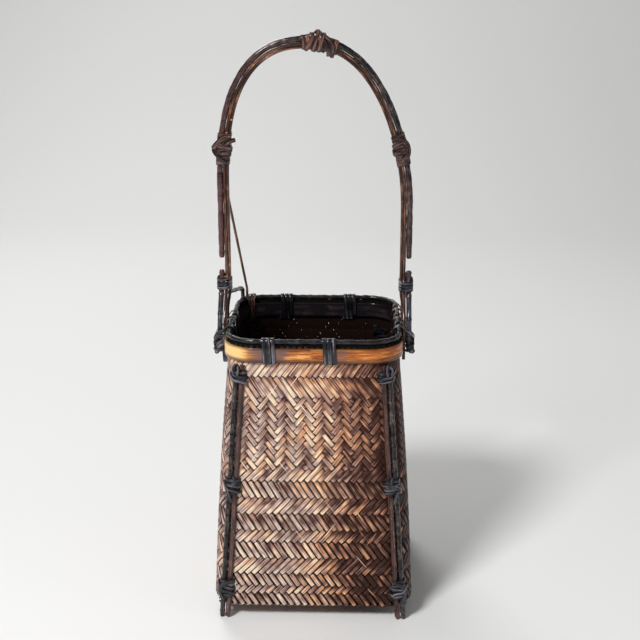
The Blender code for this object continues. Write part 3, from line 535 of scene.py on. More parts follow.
def floats_on_top(crossing, total):
    """Whether the rising strip lies on top where it crosses a falling one."""
    for low, kind in ROWS:
        if crossing >= low:
            return total % 6 not in CHEVRON_FALLING if kind == "chevron" else kind == "rising"


def weave_stations(index, rising):
    """Cells along a strip at which it changes course, how far out it lies there, and how near
    the lower end of its float that is."""
    low, high = WALL_CELLS
    signs = {}
    for crossing in range(low - 1, high + 2):
        total = 2 * index + (crossing if rising else -crossing)
        signs[crossing] = 1 if floats_on_top(crossing, total) == rising else -1
    cells, lies, falls = [], [], []
    for crossing in range(low, high + 1):
        sign = signs[crossing]
        before, after = signs[crossing - 1] != sign, signs[crossing + 1] != sign
        if before or crossing == low:
            cells.append(crossing - CROSSING_HALF)
            lies.append(sign)
        if not before and not after:
            cells.append(crossing)
            lies.append(sign * FLOAT_BOW)
        if after or crossing == high:
            cells.append(crossing + CROSSING_HALF)
            lies.append(sign)
        last = max(1, len(cells) - len(falls) - 1)
        if after or crossing == high:
            falls += [1 - step / last for step in range(len(cells) - len(falls))]
    return np.array(cells, float), np.array(lies, float), np.array(falls)


def weave_runs(rising):
    """Every strip of one family of the wall, from under its foot to its top."""
    s = sizes()
    rng = np.random.default_rng(11 if rising else 12)
    runs = []
    for index in range(s.strip_count):
        cells, lies, falls = weave_stations(index, rising)
        lean = -LEAN * np.maximum(0, LEAN_BELOW - cells)
        turn = index + (0.5 if rising else -0.5) * cells + lean + 0.05 * wander(rng, cells, 60, 6)
        points, out = wall_places(turn / s.strip_count, cell_rise(cells))
        reach = rng.uniform(0.68, 0.74) * (WALL - s.strip_thick) / 2
        points = points + out * (lies * reach)[:, None]
        half = s.strip_width / 2 * (rng.uniform(0.90, 1.03) + 0.03 * wander(rng, cells, 25, 4))
        half = half * np.where(cells < LEAN_BELOW, LEANING_WIDTH, 1.0)
        half = half * np.where(lies < 0, 1.1, 1.0)
        runs.append(run(points, out, half, s.strip_thick / 2, seed=rng.random(), tone=rng.random(),
                        wear_and_float_light=falls, depth=lies))
    return runs


def sliver_runs(count=90, steps=9):
    """Fine splinters that lift a little from the plaiting, along one or the other family."""
    s = sizes()
    rng = np.random.default_rng(21)
    arch = np.sin(np.linspace(0, math.pi, steps))
    runs = []
    for _ in range(count):
        cells = rng.uniform(1, 58) + np.linspace(0, rng.uniform(2, 4.5), steps)
        turn = rng.uniform(0, s.strip_count) + rng.choice((-0.5, 0.5)) * cells * rng.uniform(0.95, 1.08)
        points, out = wall_places(turn / s.strip_count, cell_rise(cells))
        points = points + out * (1.02 * MM + arch * rng.uniform(0.1, 0.3) * MM)[:, None]
        runs.append(run(points, out, rng.uniform(0.3, 0.55) * MM * (0.35 + 0.65 * arch), 0.14 * MM,
                        seed=rng.random(), tone=rng.random(), wear_and_float_light=rng.uniform(1.5, 3), depth=1.3))
    return runs


def plait_finish():
    """Smoked bamboo of the weave: brown strips with pale streaks. Painted light brightens the left front and
    the lower ends of floats and lays a sheen on the left; painted shade darkens the right, the sides, the
    strip edges, strips under crossings, the inner faces and the wall's top edge.
    """
    f = Finish("plaited_bamboo")
    across, through = f.section()
    along, seed, tone, lie = f.mark("length"), f.mark("seed"), f.mark("tone"), f.mark("depth")
    x, y, z = f.split(f.place())
    band_top = heights()[1]
    streaks = f.noise(f.vector(across * 1.5 + seed * 91, along * 28, seed * 37), 1.6, 3, 0.6) - 0.5
    fine = f.noise(f.vector(across * 6 + seed * 57, along * 60, seed * 11), 1.7, 2) - 0.5
    spans = f.noise(f.vector(seed * 711, along * 75, 0.0), 1.0, 1) - 0.5
    regions = f.noise(f.vector(x * 24, y * 24, z * 24), 1.0, 2) - 0.5
    shade = streaks * 1.8 + fine * 0.9 + spans * 1.4 + regions * 0.6 + tone * 0.22
    # Painted shade on the side faces beyond the corner posts, partly their own darker tone.
    sides = (abs(x) + z * 0.0685).step(0.084, 0.094)
    # Painted light along each float: the float mark makes its lower end brighter than its upper end. On the
    # splinters the same mark makes them pale.
    # Painted light: the weave is brighter on the left front and darker to the right, and the falloff starts
    # further right higher up.
    shade = shade + f.mark("wear_and_float_light") * 0.30 + 0.46 - (x - z * 0.08).step(-0.02, 0.062) * 0.58
    # The side faces' painted shade, and a little darker towards the top of the wall.
    shade = shade - sides * 0.12 - z.step(0.20, 0.25) * 0.10
    # Painted sheen: towards the left the light and worn tones turn to greyed sheen colours, a painted
    # reflection. To the right they stay warm.
    warm = (x * 5 + regions * 2.5 + spans * 3.0 + streaks * 1.2).step(-0.45, 0.55)
    dark, mid, light, worn = (tint(name) for name in ("plait_dark", "plait", "plait_light", "plait_worn"))
    light = f.mix(warm, tint("plait_sheen"), light)
    worn = f.mix(warm, tuple(0.35 + 0.6 * c for c in worn), worn)
    body = f.mix(shade.step(0.08, 0.46), dark, mid)
    body = f.mix(shade.step(0.36, 0.78), body, light)
    body = f.mix(shade.step(0.74, 1.10), body, worn)
    # Painted shade at the strips' edges, and a painted shadow along one side of each strip.
    edge_shade = (abs(across).step(0.60, 0.85) * (0.18 + spans * 1.6)
            + across.step(0.35, 0.85) * (0.28 + streaks * 2.0))
    # Painted shade where a strip passes under the other family.
    hidden = (1 - lie.step(0.2, 1.05)) * (1.0 + spans)
    # Painted shade on the inner faces of the strips, inside the basket.
    inside = 1 - through.step(-0.35, 0.25)
    # Painted shade along the wall's top edge, in the gap under the rim.
    top = z.step(band_top - 1.5 * MM, band_top) * 0.95
    body = f.mix((edge_shade + hidden + inside + top).step(0.0, 1.15), body, dark_of(dark, 0.25))
    relief = streaks * 0.6 + fine * 0.4
    return f.done(Base_Color=body, Roughness=0.4 + fine * 0.4 + inside * 0.5,
                  Coat_Weight=0.14 - inside * 0.14, Coat_Roughness=0.15, Specular_IOR_Level=0.12,
                  Normal=f.bump(relief, 0.45 * MM))


# Looks of split strips: dark colour, light and worn colours, then fineness of the fibres,
# roughness, gloss, share of worn spots and darkness of the painted shade at the edges
STRIP_LOOKS = {
    "red_brown_strip": ("red_strip", (0.34, 0.145, 0.080), (0.80, 0.40, 0.17), 1.1, 0.25, 0.6, 0.7, 0.1),
    "post_strip": ("post_strip", (0.17, 0.070, 0.052), (0.62, 0.33, 0.20), 1.3, 0.25, 0.7, 0.7, 0.3),
    "dark_band": ("dark_band", (0.028, 0.020, 0.026), (0.10, 0.05, 0.04), 1.4, 0.5, 0.3, 0.5, 0.75),
    "blue_black_lashing": ("lash", (0.19, 0.18, 0.21), (0.55, 0.42, 0.36), 0.6, 0.25, 0.6, 0.6, 0.75),
    "brown_lashing": ("brown_lash", (0.19, 0.092, 0.070), (0.62, 0.28, 0.13), 0.5, 0.25, 0.7, 0.7, 0.75),
}


def strip_finish(name, base, light, worn, fibre, rough, sheen, wear_and_float_light, edge_shade):
    """Split bamboo: streaks along the strip and worn spots, with painted shade at its edges, in the gaps
    between strips and on the parts that face into the basket.
    """
    f = Finish(name)
    base = tint(base)
    across, through = f.section()
    along, seed, tone = f.mark("length"), f.mark("seed"), f.mark("tone")
    streaks = f.vector(across * 1.8 * fibre + seed * 91, along * 25, seed * 37 + through)
    streaks = f.noise(streaks, 1.6, 3) - 0.5
    fine = f.noise(f.vector(across * 8 + seed * 57, along * 70, through * 2), 1.7 * fibre, 2) - 0.5
    patches = f.noise(f.vector(seed * 71, along * 60, across * 0.4), 1.0, 3, 0.6) - 0.5
    scars = f.noise(f.vector(seed * 23 + across * 1.2, along * 160, 3.7), 1.0, 4, 0.65)
    shade = streaks * 2.8 + patches * 2.2 + fine * 0.9 + tone * 0.4 + 0.12
    body = f.mix(shade.step(0.15, 0.95), base, light)
    body = f.mix((scars + streaks * 0.3).step(0.64, 0.72) * wear_and_float_light, body, worn)
    # Painted shade on the parts that face into the basket.
    body = f.mix((1 - f.mark("depth")).step(1.1, 1.8) * 0.85, body, dark_of(base, 0.25))
    # Painted shade at the strip's edges and along the gaps between neighbouring strips.
    brink = abs(across).step(0.60, 0.85)
    body = f.mix(brink * edge_shade, body, dark_of(base, 0.2))
    body = f.mix(brink * abs(through).step(0.62, 0.90) * 0.8, body, dark_of(base, 0.2))
    relief = streaks * 0.6 + fine * 0.4
    return f.done(Base_Color=body, Roughness=rough + fine * 0.4, Specular_IOR_Level=0.12,
                  Coat_Weight=sheen, Coat_Roughness=0.13, Normal=f.bump(relief, 0.2 * MM))


# Looks of canes: dark colour, colour of the bloom, share of the bloom and roughness
CANE_LOOKS = {
    "dark_cane": ("cane", "dark_bloom", 0.43, 0.2),
    "rim_cane": ("cane", "rim_bloom", 0.35, 0.4),
    "blue_black_cane": ("lash", "blue_bloom", 0.55, 0.22),
}


def cane_finish(name, dark, bloom, share, rough):
    """Dark glossy cane with a pale bloom and small cuts, browner up the handle's left side."""
    f = Finish(name)
    dark, bloom = tint(dark), tint(bloom)
    spot = f.place()
    along, seed = f.mark("length"), f.mark("seed")
    across, through = f.section()
    grain = f.noise(f.vector(across * 3 + seed * 13, along * 90, through * 3), 1.5, 4) - 0.5
    clouds = f.noise(spot, 90, 4, 0.65) - 0.5
    dents = f.noise(spot, 620, 2, 0.6)
    cuts = f.noise(f.vector(seed * 7 + across * 0.25, along * 330, through * 0.25), 1.0, 2)
    shade = clouds * 1.7 + grain * 1.4 + share
    x, _, z = f.split(spot)
    body = f.mix(shade.step(0.3, 1.0), dark, bloom)
    brown = (x.step(0.0, -0.06) + (1 - z.step(0.40, 0.44)) * 0.6) * z.step(0.28, 0.32)
    body = f.mix(brown * (shade + 0.1), body, tint("cane_brown"))
    body = f.mix(dents.step(0.60, 0.70) * 0.75, body, dark_of(dark, 0.3))
    body = f.mix(cuts.step(0.60, 0.68) * 0.7, body, dark_of(dark, 0.3))
    return f.done(Base_Color=body, Roughness=rough + grain * 0.3, Coat_Weight=0.5, Specular_IOR_Level=0.12,
                  Coat_Roughness=0.1, Normal=f.bump(grain * 0.4 + dents * 0.6 - cuts * 1.2, 0.3 * MM))


def finish(name):
    """The finish of a name, made when a piece first asks for it."""
    made = bpy.data.materials.get("skin_" + name)
    if made:
        return made
    if name in STRIP_LOOKS:
        return strip_finish(name, *STRIP_LOOKS[name])
    if name in CANE_LOOKS:
        return cane_finish(name, *CANE_LOOKS[name])
    return {"plaited_bamboo": plait_finish, "amber_band": band_finish, "rim_shadow": shadow_finish}[name]()


class BasketStep:
    """A step of the basket: an operator that builds some pieces and either finishes or raises."""
    bl_options = {"REGISTER", "UNDO"}

    def execute(self, context):
        self.build()
        return {"FINISHED"}


class BASKET_OT_wall(BasketStep, bpy.types.Operator):
    """Plait the wall from two families of strips"""
    bl_idname = "basket.wall"
    bl_label = "Plaited wall"

    def build(self):
        for name, runs, sides in (("weave_rising", weave_runs(True), 8),
                                  ("weave_falling", weave_runs(False), 8),
                                  ("weave_slivers", sliver_runs(), 6)):
            dress(name, runs, "plaited_bamboo", "woven_body", sides, 0.4)


def floor_runs(direction):
    """Diagonal strips of the floor, going over and under two at a time."""
    s = sizes()
    margin = FOOT_ROUND + FLOOR_MARGIN
    half_x, half_y = s.base_width / 2 - margin, s.base_depth / 2 - margin
    corner = s.base_corner - margin
    rng = np.random.default_rng(5 + direction)
    slant = np.array((1.0, direction, 0.0)) / math.sqrt(2)
    across = np.array((-direction, 1.0, 0.0)) / math.sqrt(2)
    height = s.base_height + WALL / 2 + FLOOR_LIFT
    steps = np.arange(-FLOOR_REACH, FLOOR_REACH + 1)
    runs = []
    for index in range(1 - FLOOR_REACH, FLOOR_REACH):
        spots = slant * (steps[:, None] * FLOOR_PITCH) + across * (index * FLOOR_PITCH)
        away = np.maximum(np.abs(spots[:, :2]) - (half_x - corner, half_y - corner), 0)
        inside = np.linalg.norm(away, axis=1) <= corner
        if inside.sum() < 3:
            continue
        lies = np.where(((steps + index * direction) // 2) % 2 == 0, 1, -1) * direction
        points = spots[inside] + UP * (height + lies[inside, None] * FLOOR_SWING)
        runs.append(run(points, -UP, FLOOR_PITCH * FLOOR_COVER, s.strip_thick / 2, seed=rng.random(),
                        tone=rng.random(), depth=-lies[inside]))
    return runs


class BASKET_OT_floor(BasketStep, bpy.types.Operator):
    """Plait the floor"""
    bl_idname = "basket.floor"
    bl_label = "Plaited floor"

    def build(self):
        for name, direction in (("floor_rising", 1), ("floor_falling", -1)):
            dress(name, floor_runs(direction), "plaited_bamboo", "woven_body", 6, 0.4)


# Paths of the canes

def resample(points, stations, values=None):
    """Points at distances along a polyline, or values that are given at its points."""
    values = np.asarray(points if values is None else values)
    return np.stack([np.interp(stations, distances(points), values[:, axis]) for axis in range(3)], -1)


def path_length(points):
    return np.linalg.norm(np.diff(points, axis=0), axis=1).sum()


def cane_run(points, outward, radius, seed, step=27 * MM, swell=CANE_SWELL, even=3 * MM, lumps=0.03):
    """A cane along a path: ring nodes at even distances, small lumps and narrowed ends."""
    total = path_length(points)
    rng = np.random.default_rng(int(abs(seed) * 1000))
    nodes = np.arange(step * 0.6, total - 3 * MM, step)
    nodes = nodes + rng.uniform(-0.15, 0.15, len(nodes)) * step
    near = [nodes + offset * MM for offset in (-2.2, -0.9, -0.3, 0.3, 0.9, 2.2)]
    stations = np.unique(np.concatenate([np.arange(0, total, even), [total], *near]).clip(0, total))
    stations = stations[np.concatenate(([True], np.diff(stations) > 0.15 * MM))]
    away = np.abs(stations[:, None] - nodes[None, :]).min(1)
    size = radius * (1 + lumps * wander(rng, stations, 40 * MM, 6))
    size = np.minimum(size + swell * np.clip(1 - away / (1.6 * MM), 0, 1), radius + swell)
    size[0] = size[-1] = radius * 0.72
    spots = resample(points, stations)
    if np.ndim(outward) == 2:
        outward = outward[0]
    return run(spots, outward, size, size, seed=seed, tone=rng.random())


def strip_run(points, outward, width, thick, seed, taper, even=3 * MM):
    """A split strip along a path whose outward directions are given at the same points; taper
    narrows its two ends."""
    total = path_length(points)
    stations = np.linspace(0, total, max(4, int(total / even)))
    rng = np.random.default_rng(int(abs(seed) * 1000))
    half = width / 2 * (1 + 0.03 * wander(rng, stations, 60 * MM, 5)).clip(0.9, 1)
    half[[0, -1]] *= taper
    return run(resample(points, stations), resample(points, stations, outward), half, thick / 2, seed=seed,
               tone=rng.random())


def post_places(side, face, height, shift=0.0, lift=0.0):
    """Points beside a corner post on the wall, with along-wall and outward directions."""
    s = sizes()
    height = np.asarray(height, float)
    half_x, half_y, corner = wall_size(height)
    x = lerp(s.base_width / 2 - POST_INSET_FOOT, s.rim_width / 2 - POST_INSET_RIM, height / heights()[2])
    past = np.maximum(0, x - (half_x - corner))
    rise = np.sqrt(np.maximum(0, corner * corner - past * past))
    flat = np.zeros_like(height)
    spot = np.stack((side * x, face * (half_y - corner + rise), height), -1)
    out = unit(np.stack((side * past, face * rise, flat), -1))
    along = unit(np.stack((side * rise, -face * past, flat), -1))
    return spot + along * shift + out * (GAP + lift), along, out


SIDES = ((-1, "left"), (1, "right"))
CORNERS = [(side, face, f"post_{face_name}_{side_name}")
           for side, side_name in SIDES for face, face_name in ((-1, "front"), (1, "back"))]


class BASKET_OT_posts(BasketStep, bpy.types.Operator):
    """Set the four corner posts, each a knobbly cane beside a split strip"""
    bl_idname = "basket.posts"
    bl_label = "Corner posts"

    def build(self):
        radius = POST_CANE / 2 + CANE_SWELL
        width, thick = POST_STRIP
        top = heights()[2]
        for number, (side, face, name) in enumerate(CORNERS):
            points, _, out = post_places(side, face, np.linspace(0, top, 90), GAP / 2 + radius, radius)
            runs = [cane_run(points, out, POST_CANE / 2, 0.13 + number / 7, step=11 * MM, even=2.5 * MM)]
            dress(name + "_cane_skin", runs, "dark_cane", name + "_cane", 12, 1, 60)
            levels = np.linspace(1 * MM, top, 90)
            points, _, out = post_places(side, face, levels, -(GAP + width) / 2, thick / 2)
            runs = [strip_run(points, out, width, thick, 0.17 + number / 9, (0.5, 1))]
            dress(name + "_strip_skin", runs, "red_brown_strip", name + "_strip", 12, 0.4, look="post_strip")


# Rim

def rim_loop(offset, height, count=260):
    """A closed outline at a distance outside the wall at the rim, and its outward directions."""
    box = [part + offset for part in wall_size(heights()[1])]

    def outline(turn):
        return np.column_stack((*round_box(*box, turn), np.full(count, height)))

    turn = np.arange(count) / count
    return outline(turn), unit(np.cross(outline(turn + PROBE) - outline(turn - PROBE), UP))


def band_finish():
    """Amber split bamboo with long fibres, a burnt patch and a yellow left end, and painted shade along its
    upper and lower edges.
    """
    f = Finish("amber_band")
    across, through = f.section()
    along = f.mark("length")
    x, y, _ = f.split(f.place())
    fibres = f.noise(f.vector(across * 3.5, along * 9, through), 1.8, 4, 0.6) - 0.5
    fine = f.noise(f.vector(across * 16, along * 30, through), 1.6, 3, 0.6) - 0.5
    clouds = f.noise(f.vector(across * 0.9, along * 30, 0.0), 1.0, 4, 0.6) - 0.5
    shade = fibres * 2.2 + fine * 1.2 + clouds * 2.2 + 0.5
    body = f.mix(shade.step(0.0, 0.55), (0.14, 0.034, 0.010), tint("band"))
    body = f.mix(shade.step(0.50, 1.0), body, (0.95, 0.46, 0.12))
    front = y.step(0.03, -0.03)
    body = f.mix(x.step(-0.056, -0.068) * front * 0.9, body, (1.0, 0.66, 0.25))
    edges = clouds * 0.03 + x
    burnt = edges.step(-0.060, -0.050) * (1 - edges.step(-0.030, -0.016)) * front
    mauve = edges.step(0.006, 0.014) * (1 - edges.step(0.028, 0.036)) * front * 0.6
    body = f.mix((burnt + mauve).step(0.0, 1.05) * (0.85 + fine * 1.5), body, tint("band_burnt"))
    # Painted shade along the band's upper and lower edges, as if the band were rounded, leaving its middle
    # bright.
    low = (abs(across + 0.12) + clouds * 0.3).step(0.45, 0.95)
    body = f.mix(low * 0.85, body, (0.045, 0.014, 0.008))
    return f.done(Base_Color=body, Roughness=0.26 + fine * 0.4, Coat_Weight=0.4, Coat_Roughness=0.12,
                  Specular_IOR_Level=0.2, Normal=f.bump(fibres * 0.6 + fine * 0.4, 0.25 * MM))


def shadow_finish():
    """Near-black painted shade for the gap under the cane, between the two bands."""
    f = Finish("rim_shadow")
    return f.done(Base_Color=f.mix(f.noise(f.place(), 400), (0.003,) * 3, (0.007,) * 3), Roughness=0.9,
                  Specular_IOR_Level=0.05)


class BASKET_OT_rim(BasketStep, bpy.types.Operator):
    """Lay the outer band, the inner band and the rolled cane on the rim"""
    bl_idname = "basket.rim"
    bl_label = "Rim"

    def build(self):
        bottom, top, _ = heights()
        rim = sizes().rim_height
        for name, node, slot, look, offset, height, wide, thick, sides, squareness in (
                ("outer_band_skin", "rim_outer_band", "amber_band", None, GAP + BAND_THICK / 2,
                 (bottom + top) / 2, BAND_HEIGHT, BAND_THICK, 20, 0.4),
                ("inner_band_skin", "rim_inner_band", "dark_band", None, -WALL - GAP - INNER_BAND_THICK / 2,
                 top - INNER_BAND_HEIGHT / 2, INNER_BAND_HEIGHT, INNER_BAND_THICK, 16, 0.4),
                # A near-black hoop under the cane, coloured with the painted shade of the gap between the
                # bands
                ("rim_shaded_core", "rim_inner_band", "dark_band", "rim_shadow", -WALL / 2,
                 rim - RIM_CANE - 1.6 * MM, 3.6 * MM, 2.2 * MM, 10, 0.5)):
            points, out = rim_loop(offset, height)
            runs = [run(points, out, wide / 2, thick / 2, True)]
            dress(name, runs, slot, node, sides, squareness, look=look)
        count = 300
        points, out = rim_loop(-WALL / 2, rim - RIM_CANE / 2, count)
        rng = np.random.default_rng(3)
        turn = np.arange(count) / count
        waves = sum(np.sin(2 * math.pi * (turn * twists + rng.random())) for twists in (37, 53, 71))
        size = RIM_CANE / 2 * (0.90 + 0.07 * waves / 1.5)
        runs = [run(points, out, size, size, True)]
        dress("rim_roll", runs, "blue_black_cane", "rim_top_cane", 12, 0.9, 60, look="rim_cane")


# Handle

# Heights over the rim: the lower end of the outer cane, the tops of the props, where the rear rods
# meet the legs and where they end, and the bindings of the props and of the shoulders
CANE_END = 57 * MM
FRONT_PROP_TOP = 45 * MM
REAR_PROP_TOP = 39 * MM
ROD_JOINS = 127 * MM
ROD_END = 173 * MM
PROP_BINDING = 33 * MM
SHOULDER = 160 * MM
# How far to the right of the arch's middle its top binding sits
TOP_SHIFT = 10 * MM
# How far in front of and behind the arch the front strips and the rear rods stand at the rim
FRONT_SEAT = 28 * MM
REAR_SEAT = 34 * MM
# How far outside the middle of the handle's strands each of them lies
CANE_OUT = GAP / 2 + HANDLE_CANE / 2 + CANE_SWELL
FRONT_OUT = -(GAP + FRONT_STRIP[1]) / 2
MIDDLE_OUT = -(GAP + MIDDLE_STRIP[1]) / 2 - FRONT_STRIP[1] - GAP


def handle_half():
    """Half the width of the handle, between the outer cane and the front strip."""
    return sizes().rim_width / 2 + GAP + FRONT_STRIP[1] + GAP / 2


def arch_line(count=720):
    """Points of the arch between the outer cane and the split strips, from left to right."""
    s = sizes()
    angle = math.pi * (1 - np.arange(count + 1) / count)
    x = np.sign(np.cos(angle)) * np.abs(np.cos(angle)) ** (2 / ARCH_POWER) * handle_half()
    rise = np.abs(np.sin(angle)) ** (2 / ARCH_POWER)
    return np.stack((x - ARCH_LEAN * ease(rise), 0 * x, s.rim_height + s.arch_clear + s.arch_rise * rise), -1)


def arch_places(distance):
    """Points of the arch at distances along it, with radially outward directions."""
    line = arch_line()
    step = 0.5 * MM
    total = path_length(line)
    ahead = resample(line, np.minimum(distance + step, total))
    behind = resample(line, np.maximum(distance - step, 0))
    return resample(line, distance), unit(np.cross(ahead - behind, BACK))


def strand(leg, out, levels, count=160):
    """A strand up the left leg, over the arch and down the right leg; leg gives how far out and
    how far back it is at a height."""
    x, y = leg(levels)
    zero = np.zeros_like(levels)
    left = np.stack((-x, y + zero, levels), -1)
    right = np.stack((x, y + zero, levels), -1)[::-1]
    total = path_length(arch_line())
    spots, outward = arch_places(np.linspace(0, total, count)[1:-1])
    side = np.tile(RIGHT, (len(levels), 1))
    return np.concatenate((left, spots + outward * out, right)), np.concatenate((-side, outward, side))


def fallen(level, start, drop):
    """How far a strand has come from its leg to its seat: 0 at start over the rim, 1 a drop lower."""
    return np.clip((sizes().rim_height + start - level) / drop, 0, 1)


def cane_leg(level):
    return handle_half() + CANE_OUT + 0 * level, 0 * level


def front_leg(level):
    back = -FRONT_SEAT * ease(fallen(level, FRONT_PROP_TOP, 52 * MM))
    return handle_half() + FRONT_OUT + 0 * level, back


def middle_leg(level):
    seat = sizes().rim_width / 2 + GAP + MIDDLE_STRIP[1] / 2
    return lerp(handle_half() + MIDDLE_OUT, seat, ease(fallen(level, 27 * MM, 23 * MM))), 0 * level


def rod_leg(level):
    near = (FRONT_STRIP[0] + REAR_ROD) / 2 + GAP
    return (sizes().rim_width / 2 + GAP + REAR_ROD / 2 + 0 * level,
            lerp(near, REAR_SEAT, fallen(level, ROD_JOINS, 132 * MM)))


def front_prop_leg(level):
    out, back = front_leg(level)
    return out + (FRONT_STRIP[1] + FRONT_PROP) / 2 + CANE_SWELL + GAP, back


def rear_prop_leg(level):
    near = (MIDDLE_STRIP[0] + REAR_PROP) / 2 + CANE_SWELL + GAP
    far = REAR_SEAT - (REAR_ROD + REAR_PROP) / 2 - CANE_SWELL - GAP
    return (sizes().rim_width / 2 + GAP + REAR_PROP / 2 + CANE_SWELL + 0 * level,
            lerp(near, far, ease(fallen(level, REAR_PROP_TOP, 44 * MM))))


def corner_place(reach, slide=0.0):
    """A spot in plan outside the rear left corner of the rim, as how far out and how far back."""
    s = sizes()
    inset = BAND_THICK + GAP
    corner = s.rim_corner - inset
    angle = math.pi / 2 * REAR_CORNER_SHARE - slide / corner
    return (s.rim_width / 2 - s.rim_corner + (corner + reach) * np.cos(angle),
            s.rim_depth / 2 - s.rim_corner + (corner + reach) * np.sin(angle))


# The rod and the prop at the rear left corner: distance outside it, shift along it, half width
CORNER_STRANDS = ((BAND_THICK + 2 * GAP + ROD_HALF, -REAR_PROP_HALF - GAP / 2, ROD_HALF),
                  (BAND_THICK + 2 * GAP + REAR_PROP_HALF, ROD_HALF + GAP / 2, REAR_PROP_HALF))


def corner_rod_line(bottom):
    """The left rear rod from the corner of the rim up to the leg of the handle."""
    rim = sizes().rim_height
    out, back = corner_place(*CORNER_STRANDS[0][:2])
    top_out, top_back = rod_leg(np.array(rim + ROD_JOINS))
    return np.array(((-out, back, bottom), (-out, back, rim + 7 * MM), (-top_out, top_back, rim + ROD_JOINS)))


def corner_prop_line(bottom, bend=8 * MM):
    """The left rear prop: up the corner, round a bend and slanting to the leg of the handle."""
    rim = sizes().rim_height
    out, back = corner_place(*CORNER_STRANDS[1][:2])
    top_out, top_back = rear_prop_leg(np.array(rim + REAR_PROP_TOP))
    top = np.array((-top_out, top_back, rim + 21 * MM))
    turn = np.array((-out, back, rim + 8.5 * MM))
    low, high = turn - UP * bend, turn + unit(top - turn) * bend
    arc = [lerp(lerp(low, turn, share), lerp(turn, high, share), share) for share in np.linspace(0, 1, 9)]
    return np.array([(-out, back, bottom), *arc, top])


class CornerLine:
    """Frames round the rear left corner of the rim: u up, v outward, w along it."""

    def at(self, w):
        bottom, top, _ = heights()
        out, back = corner_place(0, np.asarray(w, float))
        middle_out, middle_back = corner_place(BAND_THICK + GAP - sizes().rim_corner)
        spots = np.stack((-out, back, np.full_like(out, (bottom + top) / 2)), -1)
        away = np.stack((middle_out - out, back - middle_back, 0 * out), -1)
        return spots, np.ones_like(away) * UP, unit(away)


def leg_line(leg, side, low, high, count=60):
    """Points of a strand of one leg between two heights."""
    level = np.linspace(low, high, count)
    x, y = leg(level)
    return np.stack((side * x, y, level), -1)


class BASKET_OT_handle(BasketStep, bpy.types.Operator):
    """Bend the outer cane, the two split strips and the rear rods of the handle"""
    bl_idname = "basket.handle"
    bl_label = "Handle"

    def build(self):
        rim = sizes().rim_height
        start = rim + sizes().arch_clear
        bottom = heights()[0]
        points, _ = strand(cane_leg, CANE_OUT, np.array((rim + CANE_END, start)), 240)
        runs = [cane_run(points, BACK, HANDLE_CANE / 2 + CANE_SWELL + 0.05 * MM, 0.31, step=9 * MM,
                         swell=0.1 * MM, even=2 * MM, lumps=0.08)]
        dress("outer_cane_skin", runs, "dark_cane", "handle_outer_cane", 14, 1, 60)
        for name, leg, out, (width, thick), tail in (
                ("front_strip", front_leg, FRONT_OUT, FRONT_STRIP, 12 * MM),
                ("middle_strip", middle_leg, MIDDLE_OUT, MIDDLE_STRIP, 8 * MM)):
            levels = np.append(np.linspace(bottom - tail, rim + 60 * MM, 50), start)
            points, outward = strand(leg, out, levels)
            runs = [strip_run(points, outward, width, thick + 0.3 * MM, 0.41, (0.45, 0.45))]
            dress(name + "_skin", runs, "red_brown_strip", "handle_" + name, 12, 0.4)
        total = path_length(arch_line())
        stations = np.linspace(0, total / 3, 60)[1:]
        for side, name in SIDES:
            spots, outward = arch_places(stations if side < 0 else total - stations)
            out, back = rod_leg(start)[0] - handle_half(), rod_leg(spots[:, 2])[1]
            spots = spots + outward * out + np.outer(back, BACK)
            spots = spots[spots[:, 2] < rim + ROD_END]
            if side < 0:
                points, spots = corner_rod_line(bottom), spots[spots[:, 2] > rim + ROD_JOINS]
            else:
                points = leg_line(rod_leg, side, bottom - 6 * MM, start, 80)
            points = np.concatenate((points, spots))
            runs = [cane_run(points, BACK, ROD_HALF, 0.23, step=60 * MM, swell=0.1 * MM)]
            dress("rear_rod_skin_" + name, runs, "red_brown_strip", "handle_rear_rod_" + name, 10, 1)


class BASKET_OT_props(BasketStep, bpy.types.Operator):
    """Stand the short props beside the legs of the handle"""
    bl_idname = "basket.props"
    bl_label = "Props"

    def build(self):
        rim, bottom = sizes().rim_height, heights()[0]
        for side, name in SIDES:
            points = leg_line(front_prop_leg, side, bottom - 4 * MM, rim + FRONT_PROP_TOP)
            runs = [cane_run(points, BACK, FRONT_PROP / 2, 0.6 + side / 5, step=21 * MM)]
            dress("front_prop_skin_" + name, runs, "blue_black_cane", "front_prop_" + name, 14, 1, 60)
            points = (corner_prop_line(bottom) if side < 0
                      else leg_line(rear_prop_leg, side, bottom, rim + REAR_PROP_TOP))
            runs = [cane_run(points, BACK, REAR_PROP / 2, 0.5 + side / 6, step=17 * MM)]
            dress("rear_prop_skin_" + name, runs, "dark_cane", "rear_prop_" + name, 12, 1, 60)


# Lashings

class Line:
    """A straight run of frames: u and v across it, w along it."""

    def __init__(self, origin, u, v, w):
        self.origin, self.u, self.v, self.w = (np.asarray(part, float) for part in (origin, u, v, w))

    def at(self, w):
        w = np.asarray(w, float)
        flat = np.ones(w.shape + (1,))
        return self.origin + w[..., None] * self.w, flat * self.u, flat * self.v

    def disc(self, point, radius=0.0):
        """A circle round a point, as u, v and radius in the line's frame."""
        away = np.asarray(point) - self.origin
        return away @ self.u, away @ self.v, radius


class ArchLine:
    """Frames along the arch from a point of it: u radially out, v to the front."""

    def __init__(self, middle):
        self.middle = middle

    def at(self, w):
        spots, outward = arch_places(self.middle + np.asarray(w, float))
        return spots, outward, np.ones_like(outward) * -BACK


